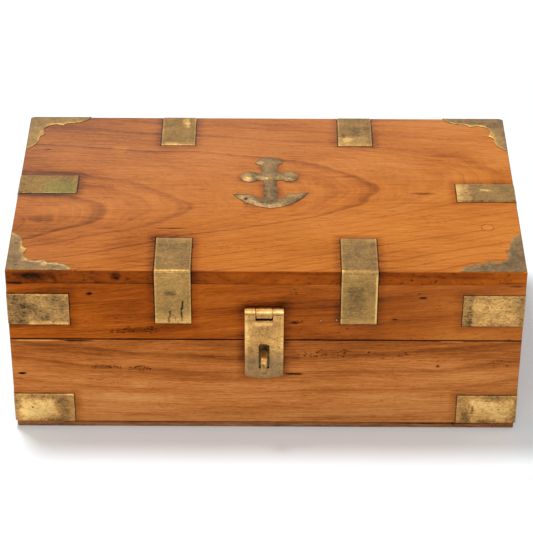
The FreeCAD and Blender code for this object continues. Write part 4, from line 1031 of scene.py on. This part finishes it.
for node, teak in teak_of.items():
    bm = solid_copy(node, whole_faces=True)
    edges = worn_edges(bm, node)
    bmesh.ops.bevel(bm, geom=edges, offset=FOOT_WEAR if node == "floor_board" else JOINT_WEAR, offset_type="OFFSET",
                    segments=3, profile=0.5, affect="EDGES", material=-1, clamp_overlap=True)
    lost = pit_cutter(node)
    if lost.verts:
        cutter = on_bench("pit_cutter", lost)
        bm = worked(on_bench("board_blank", bm), "BOOLEAN", operation="DIFFERENCE", solver="EXACT", use_self=True,
                    object=cutter)
        bpy.data.objects.remove(cutter)
    finish_piece(bm, node + "_worn", teak, node, smooth=12.0)
    print(node, "edges worn:", len(edges))

# %% [markdown]
# ## Bent straps
# A strap is a strip of sheet brass hammered over an edge of the box. A bent cube would do, but the
# sheet is drawn as the smith made it: the line of the strip's end is extruded along one leg, spun by
# 90 degrees round the bend and extruded along the other leg. Thickness comes last.

# %% Lay out a strap
SHEET, TURN, RUN_STEP = 1.2 * MM, 1.9 * MM, 2.5 * MM
TURN_STEPS = 4


def strap_layout(node, width_axis, corner):
    """The edge that a strap is bent over, the ways inwards along its legs, and its sizes."""
    low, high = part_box(node)
    edge = (low + high) / 2
    inward, length = [], []
    for axis, side in zip([axis for axis in range(3) if axis != width_axis], corner):
        edge[axis] = high[axis] if side > 0 else low[axis]
        inward.append(Vector([-side if i == axis else 0 for i in range(3)]))
        length.append(high[axis] - low[axis])
    wide = Vector([1 if i == width_axis else 0 for i in range(3)])
    return SimpleNamespace(edge=edge, inward=inward, length=length, wide=wide,
                           width=high[width_axis] - low[width_axis])


# %% Bend the strip
def only(kind, geometry):
    """The edges or the vertices in what an operator gives back."""
    return [item for item in geometry if isinstance(item, kind)]


def extrude_leg(bm, line, heading, length):
    """Extrude a line in even steps; gives back its far end."""
    steps = round(length / RUN_STEP)
    for _ in range(steps):
        moved = bmesh.ops.extrude_edge_only(bm, edges=line)["geom"]
        line = only(bmesh.types.BMEdge, moved)
        bmesh.ops.translate(bm, verts=only(bmesh.types.BMVert, moved), vec=heading * length / steps)
    return line


def bend_strip(lay):
    """One leg, the bend and the other leg, with its faces outwards."""
    bm = bmesh.new()
    first, second = lay.inward
    foot = lay.edge + first * lay.length[0]
    ends = [bm.verts.new(foot + lay.wide * lay.width * side) for side in (-0.5, 0.5)]
    bmesh.ops.subdivide_edges(bm, edges=[bm.edges.new(ends)], cuts=round(lay.width / RUN_STEP))
    line = extrude_leg(bm, list(bm.edges), -first, lay.length[0] - TURN)
    spun = bmesh.ops.spin(bm, geom=line, cent=lay.edge + (first + second) * TURN, axis=second.cross(first),
                          angle=math.pi / 2, steps=TURN_STEPS)["geom_last"]
    extrude_leg(bm, only(bmesh.types.BMEdge, spun), second, lay.length[1] - TURN)
    bmesh.ops.remove_doubles(bm, verts=bm.verts, dist=0.01 * MM)
    bmesh.ops.recalc_face_normals(bm, faces=bm.faces)
    at_foot = max(bm.faces, key=lambda face: (face.calc_center_median() - lay.edge).dot(first))
    if at_foot.normal.dot(second) > 0:
        bmesh.ops.reverse_faces(bm, faces=bm.faces)
    return bm


# %% [markdown]
# Hammering left shallow dents, which come from a smooth noise, and a map of the sheet keeps its length
# and width for the finish. Solidify and Bevel modifiers then give the thickness and the filed rim.

# %% Straps
DENT, DENT_SPAN, DENT_SHIFT = 0.13 * MM, 9 * MM, Vector((7, 3, 1))
RIM_FILED = 0.3 * MM


def thicken(piece, thickness):
    """Give a sheet its thickness, inwards."""
    solid = piece.modifiers.new("sheet", "SOLIDIFY")
    solid.thickness, solid.offset = thickness, -1


def bent_strap(node, width_axis, corner, brass):
    """A strip bent over an edge; corner gives the outer side on the two axes across its width."""
    lay = strap_layout(node, width_axis, corner)
    bm = bend_strip(lay)
    sheet = bm.loops.layers.uv.new("sheet")
    for face in bm.faces:
        for loop in face.loops:
            out = loop.vert.co - lay.edge
            run = out.dot(lay.inward[1]) / lay.length[1] - out.dot(lay.inward[0]) / lay.length[0]
            loop[sheet].uv = (0.5 + run / 2, 0.5 + out.dot(lay.wide) / lay.width)
    for vert in bm.verts:
        dent = noise.noise(vert.co / DENT_SPAN + DENT_SHIFT)
        vert.co -= vert.normal * DENT * (0.5 + 0.5 * dent)
    piece = finish_piece(bm, node + "_sheet", brass, node, smooth=60.0)
    thicken(piece, SHEET)
    file_edges(piece, RIM_FILED, 2)


for side, x_side in (("left", -1), ("right", 1)):
    bent_strap(f"front_strap_{side}", 0, (-1, 1), strap_brass)
    bent_strap(f"back_strap_{side}", 0, (1, 1), strap_brass)
    bent_strap(f"side_strap_{side}", 1, (x_side, 1), strap_brass)
    for face, y_side in (("front", -1), ("back", 1)):
        bent_strap(f"lid_corner_strap_{face}_{side}", 2, (x_side, y_side), corner_brass)
        bent_strap(f"base_corner_strap_{face}_{side}", 2, (x_side, y_side), corner_brass)

# %% [markdown]
# ## Corner plates and anchor
# These were cast or cut from thicker brass and rubbed for years, so no edge is sharp. A bevel leaves
# even, machined edges. Instead a copy of the solid is cut into small even faces by a voxel remesh and
# smoothed, and then each point on top sinks or rises by its distance from the outline.


# %% Rub a casting
def rubbed_copy(node, voxel, rounds):
    """A copy of a solid in small even faces with rubbed edges, and its walls' points."""
    bm = worked(on_bench("blank", solid_copy(node)), "REMESH", mode="VOXEL", voxel_size=voxel)
    bm.normal_update()
    walls = [vert.co.copy() for vert in bm.verts if abs(vert.normal.z) < 0.5]
    for _ in range(rounds):
        bmesh.ops.smooth_vert(bm, verts=bm.verts, factor=0.5, use_axis_x=True, use_axis_y=True, use_axis_z=True)
    return bm, walls


def ease(value, start, end):
    """Smooth step from 0 at start to 1 at end."""
    share = min(max((value - start) / (end - start), 0), 1)
    return share * share * (3 - 2 * share)


def seen_from_above(points):
    """A search for the nearest of some points, with no regard to height."""
    search = kdtree.KDTree(len(points))
    for index, point in enumerate(points):
        search.insert((point.x, point.y, 0), index)
    search.balance()
    return lambda point: search.find((point.x, point.y, 0))[2]


# %% Shape the top of a casting
RIM, PATCH, PATCH_SHIFT = 3.2 * MM, 5.5 * MM, Vector((4, 1, 8))
PIN_CLEAR = 0.8 * MM


def off_pins(walls, pins_node):
    """The wall points that belong to an outline and not to a pin's hole."""
    to_pin = seen_from_above([vert.co for vert in nodes[pins_node].data.vertices])
    return [point for point in walls if to_pin(point) > PIN_CLEAR]


def shape_top(bm, node, walls, profile, lumps, lump_span):
    """Scale each point's height by a profile of its distance from the walls, with cast lumps."""
    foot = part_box(node)[0].z
    to_wall = seen_from_above(walls)
    worn = bm.verts.layers.float.new("worn")
    for vert in bm.verts:
        away = to_wall(vert.co)
        bump = 0.5 + 0.5 * noise.noise(vert.co / lump_span)
        patch = ease(noise.noise(vert.co / PATCH + PATCH_SHIFT), -0.25, 0.25)
        vert[worn] = max(0, 1 - away / RIM) * (0.2 + 0.8 * patch)
        vert.co.z = foot + (vert.co.z - foot) * profile(away) * (1 - lumps * (1 - bump))


# %% [markdown]
# A corner plate keeps a raised rim along its scallops, but not along the two outer edges of the lid,
# where years of dusting have rubbed it level. So only the scallops' walls count for the distance.

# %% Corner plates
PLATE_VOXEL, PLATE_ROUNDS, PLATE_LUMPS, PLATE_LUMP_SPAN = 0.3 * MM, 3, 0.2, 3.1 * MM
FIELD_SINK, FIELD_FROM, FIELD_TO = 0.3, 1.2 * MM, 2.6 * MM
OUTER_CLEAR = 1.5 * MM


def plate_profile(away):
    """The field inside the rim lies lower."""
    return 1 - FIELD_SINK * ease(away, FIELD_FROM, FIELD_TO)


for face, side in corners:
    node = f"corner_plate_{face}_{side}"
    low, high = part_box(node)
    outer_x, outer_y = max(abs(low.x), abs(high.x)), max(abs(low.y), abs(high.y))
    bm, walls = rubbed_copy(node, PLATE_VOXEL, PLATE_ROUNDS)
    scallops = [point for point in off_pins(walls, "corner_plate_pins")
                if outer_x - abs(point.x) > OUTER_CLEAR and outer_y - abs(point.y) > OUTER_CLEAR]
    shape_top(bm, node, scallops, plate_profile, PLATE_LUMPS, PLATE_LUMP_SPAN)
    print(node, "faces:", len(bm.faces))
    finish_piece(bm, node + "_worn", plate_brass, node, smooth=70.0)

# %% [markdown]
# The anchor is a casting, rounded over from its outline to its middle. A knock has left a small barb
# on its left fluke, which is pulled out of the finished mesh as one would pull soft clay.

# %% Anchor
ANCHOR_VOXEL, ANCHOR_ROUNDS, ANCHOR_LUMPS, ANCHOR_LUMP_SPAN = 0.36 * MM, 4, 0.14, 4.3 * MM
OUTLINE_SHARE, ROUND_FROM, ROUND_TO = 0.3, -0.6 * MM, 4.4 * MM
BARB, BARB_PUSH, BARB_REACH = Vector((-15.2, -16, 0)) * MM, Vector((-0.7, -1.2, 0)) * MM, 3.2 * MM


def anchor_profile(away):
    """Low at the outline and full height in the middle."""
    return OUTLINE_SHARE + (1 - OUTLINE_SHARE) * ease(away, ROUND_FROM, ROUND_TO)


bm, walls = rubbed_copy("anchor_emblem", ANCHOR_VOXEL, ANCHOR_ROUNDS)
for vert in bm.verts:
    vert.co += BARB_PUSH * ease((vert.co.xy - BARB.xy).length, BARB_REACH, 0)
outline = off_pins(walls, "anchor_pin")
shape_top(bm, "anchor_emblem", outline, anchor_profile, ANCHOR_LUMPS, ANCHOR_LUMP_SPAN)
print("anchor faces:", len(bm.faces))
finish_piece(bm, "anchor_emblem_cast", anchor_brass, "anchor_emblem", smooth=70.0)

# %% [markdown]
# The pins of the plates were filed off flush. New ones could be turned, but the solids are right below
# the cut, so a copy is bisected at the height of the field and the cut is filled.

# %% Pins filed flush
PIN_TOP = 137.66 * MM
bm = solid_copy("corner_plate_pins")
bmesh.ops.bisect_plane(bm, geom=[*bm.verts, *bm.edges, *bm.faces], plane_co=(0, 0, PIN_TOP), plane_no=(0, 0, 1),
                       clear_outer=True)
bmesh.ops.holes_fill(bm, edges=[edge for edge in bm.edges if edge.is_boundary])
finish_piece(bm, "corner_plate_pins_flush", plate_brass, "corner_plate_pins")
print("pins cut off at", round(PIN_TOP / MM, 2), "mm")

# %% [markdown]
# ## Hasp and staple
# The hasp is sheet brass with rolled knuckles, filed by hand. It could be drawn anew, but its solid
# has the right shape, so a copy gets its flat faces back and rounded edges that catch the light.

# %% Hasp and staple
for node, width in (("hasp_plate", 0.35 * MM), ("hasp_leaf", 0.3 * MM), ("staple_loop", 0.5 * MM)):
    piece = finish_piece(solid_copy(node, whole_faces=True), node + "_filed", hasp_brass, node)
    file_edges(piece, width, 3, angle=35.0)
    print(piece.name, "edges rounded by", width / MM, "mm")

# %% [markdown]
# The leaf's middle finger is rolled over the pin and ends in front of it, just above the notch. A
# cylinder would hide that end, so the roll is a line spun about the pin and then extruded down and
# back. Below the notch a narrow band stands a little proud of the plate: a flat bar, rounded off.

# %% Rolled finger
PIN_Y, PIN_Z, HASP_X = -103.9 * MM, 105.7 * MM, -1.2 * MM
ROLL_RADIUS, ROLL_ANGLE, FINGER = 2.75 * MM, math.radians(130), 10.6 * MM
TUCK = Vector((0, 0.6, -4.1)) * MM
FINGER_SHEET, FINGER_FILED = 0.5 * MM, 0.15 * MM
bm = bmesh.new()
# The roll starts behind the pin, 60 degrees above the level
start = Vector((HASP_X, PIN_Y + ROLL_RADIUS * 0.5, PIN_Z + ROLL_RADIUS * 0.866))
ends = [bm.verts.new(start + Vector((side * FINGER / 2, 0, 0))) for side in (-1, 1)]
bmesh.ops.subdivide_edges(bm, edges=[bm.edges.new(ends)], cuts=7)
spun = bmesh.ops.spin(bm, geom=list(bm.edges), cent=(HASP_X, PIN_Y, PIN_Z), axis=(1, 0, 0), angle=ROLL_ANGLE,
                      steps=14)["geom_last"]
lip = bmesh.ops.extrude_edge_only(bm, edges=only(bmesh.types.BMEdge, spun))["geom"]
bmesh.ops.translate(bm, verts=only(bmesh.types.BMVert, lip), vec=TUCK)
bmesh.ops.remove_doubles(bm, verts=bm.verts, dist=MERGE)
bmesh.ops.recalc_face_normals(bm, faces=bm.faces)
finger = finish_piece(bm, "hasp_leaf_finger", hasp_brass, "hasp_leaf", stands_for=False)
thicken(finger, FINGER_SHEET)
file_edges(finger, FINGER_FILED, 2)
print("finger", FINGER / MM, "mm wide")

# %% Raised band
BAND_SIZE, BAND_AT, BAND_FILED = Vector((14.0, 0.5, 3.2)) * MM, Vector((-2.4, -104.2, 94.9)) * MM, 0.2 * MM
bm = bmesh.new()
bmesh.ops.create_cube(bm, size=1.0, matrix=Matrix.LocRotScale(BAND_AT, None, BAND_SIZE))
bmesh.ops.bevel(bm, geom=list(bm.edges), offset=BAND_FILED, offset_type="OFFSET", segments=3, profile=0.5,
                affect="EDGES", material=-1)
finish_piece(bm, "hasp_band", hasp_brass, "hasp_plate", stands_for=False)
print("band", [round(v / MM, 1) for v in BAND_SIZE], "mm")

# %% [markdown]
# ## Filled nail holes
# Right of the hasp two old nail holes were stopped with putty, a paste of chalk and oil that has dried
# pale and matt. A painted dot would lie flat in the pit, so each is a lumpy drop pressed into it.

# %% Putty
PUTTY_AT, PUTTY_SIZE = ((38, -100.85, 95.8), (48.8, -100.85, 96.3)), (0.85, 0.35, 0.8)
PUTTY_LUMPS = 0.3
putty, tree, shader = new_finish("putty_dried_chalky")
[chalk] = mottling(tree, [(in_mm(tree), (0.5,) * 3, {}, {"Detail": 2.0}, None)])
colour = add(tree, "ValToRGB", {0: chalk}, stops=[(0.35, "#8A6A4C"), (0.55, "#B79A7C"), (0.7, "#CDB79C")])["Color"]
tree.links.new(colour, shader.inputs["Base Color"])
shader.inputs["Roughness"].default_value = 0.8
bm = bmesh.new()
for centre in PUTTY_AT:
    lumpy_ball(bm, centre, PUTTY_SIZE, PUTTY_LUMPS)
finish_piece(bm, "nail_hole_putty", putty, "lid_front_board", stands_for=False)
print("putty in", len(PUTTY_AT), "holes")
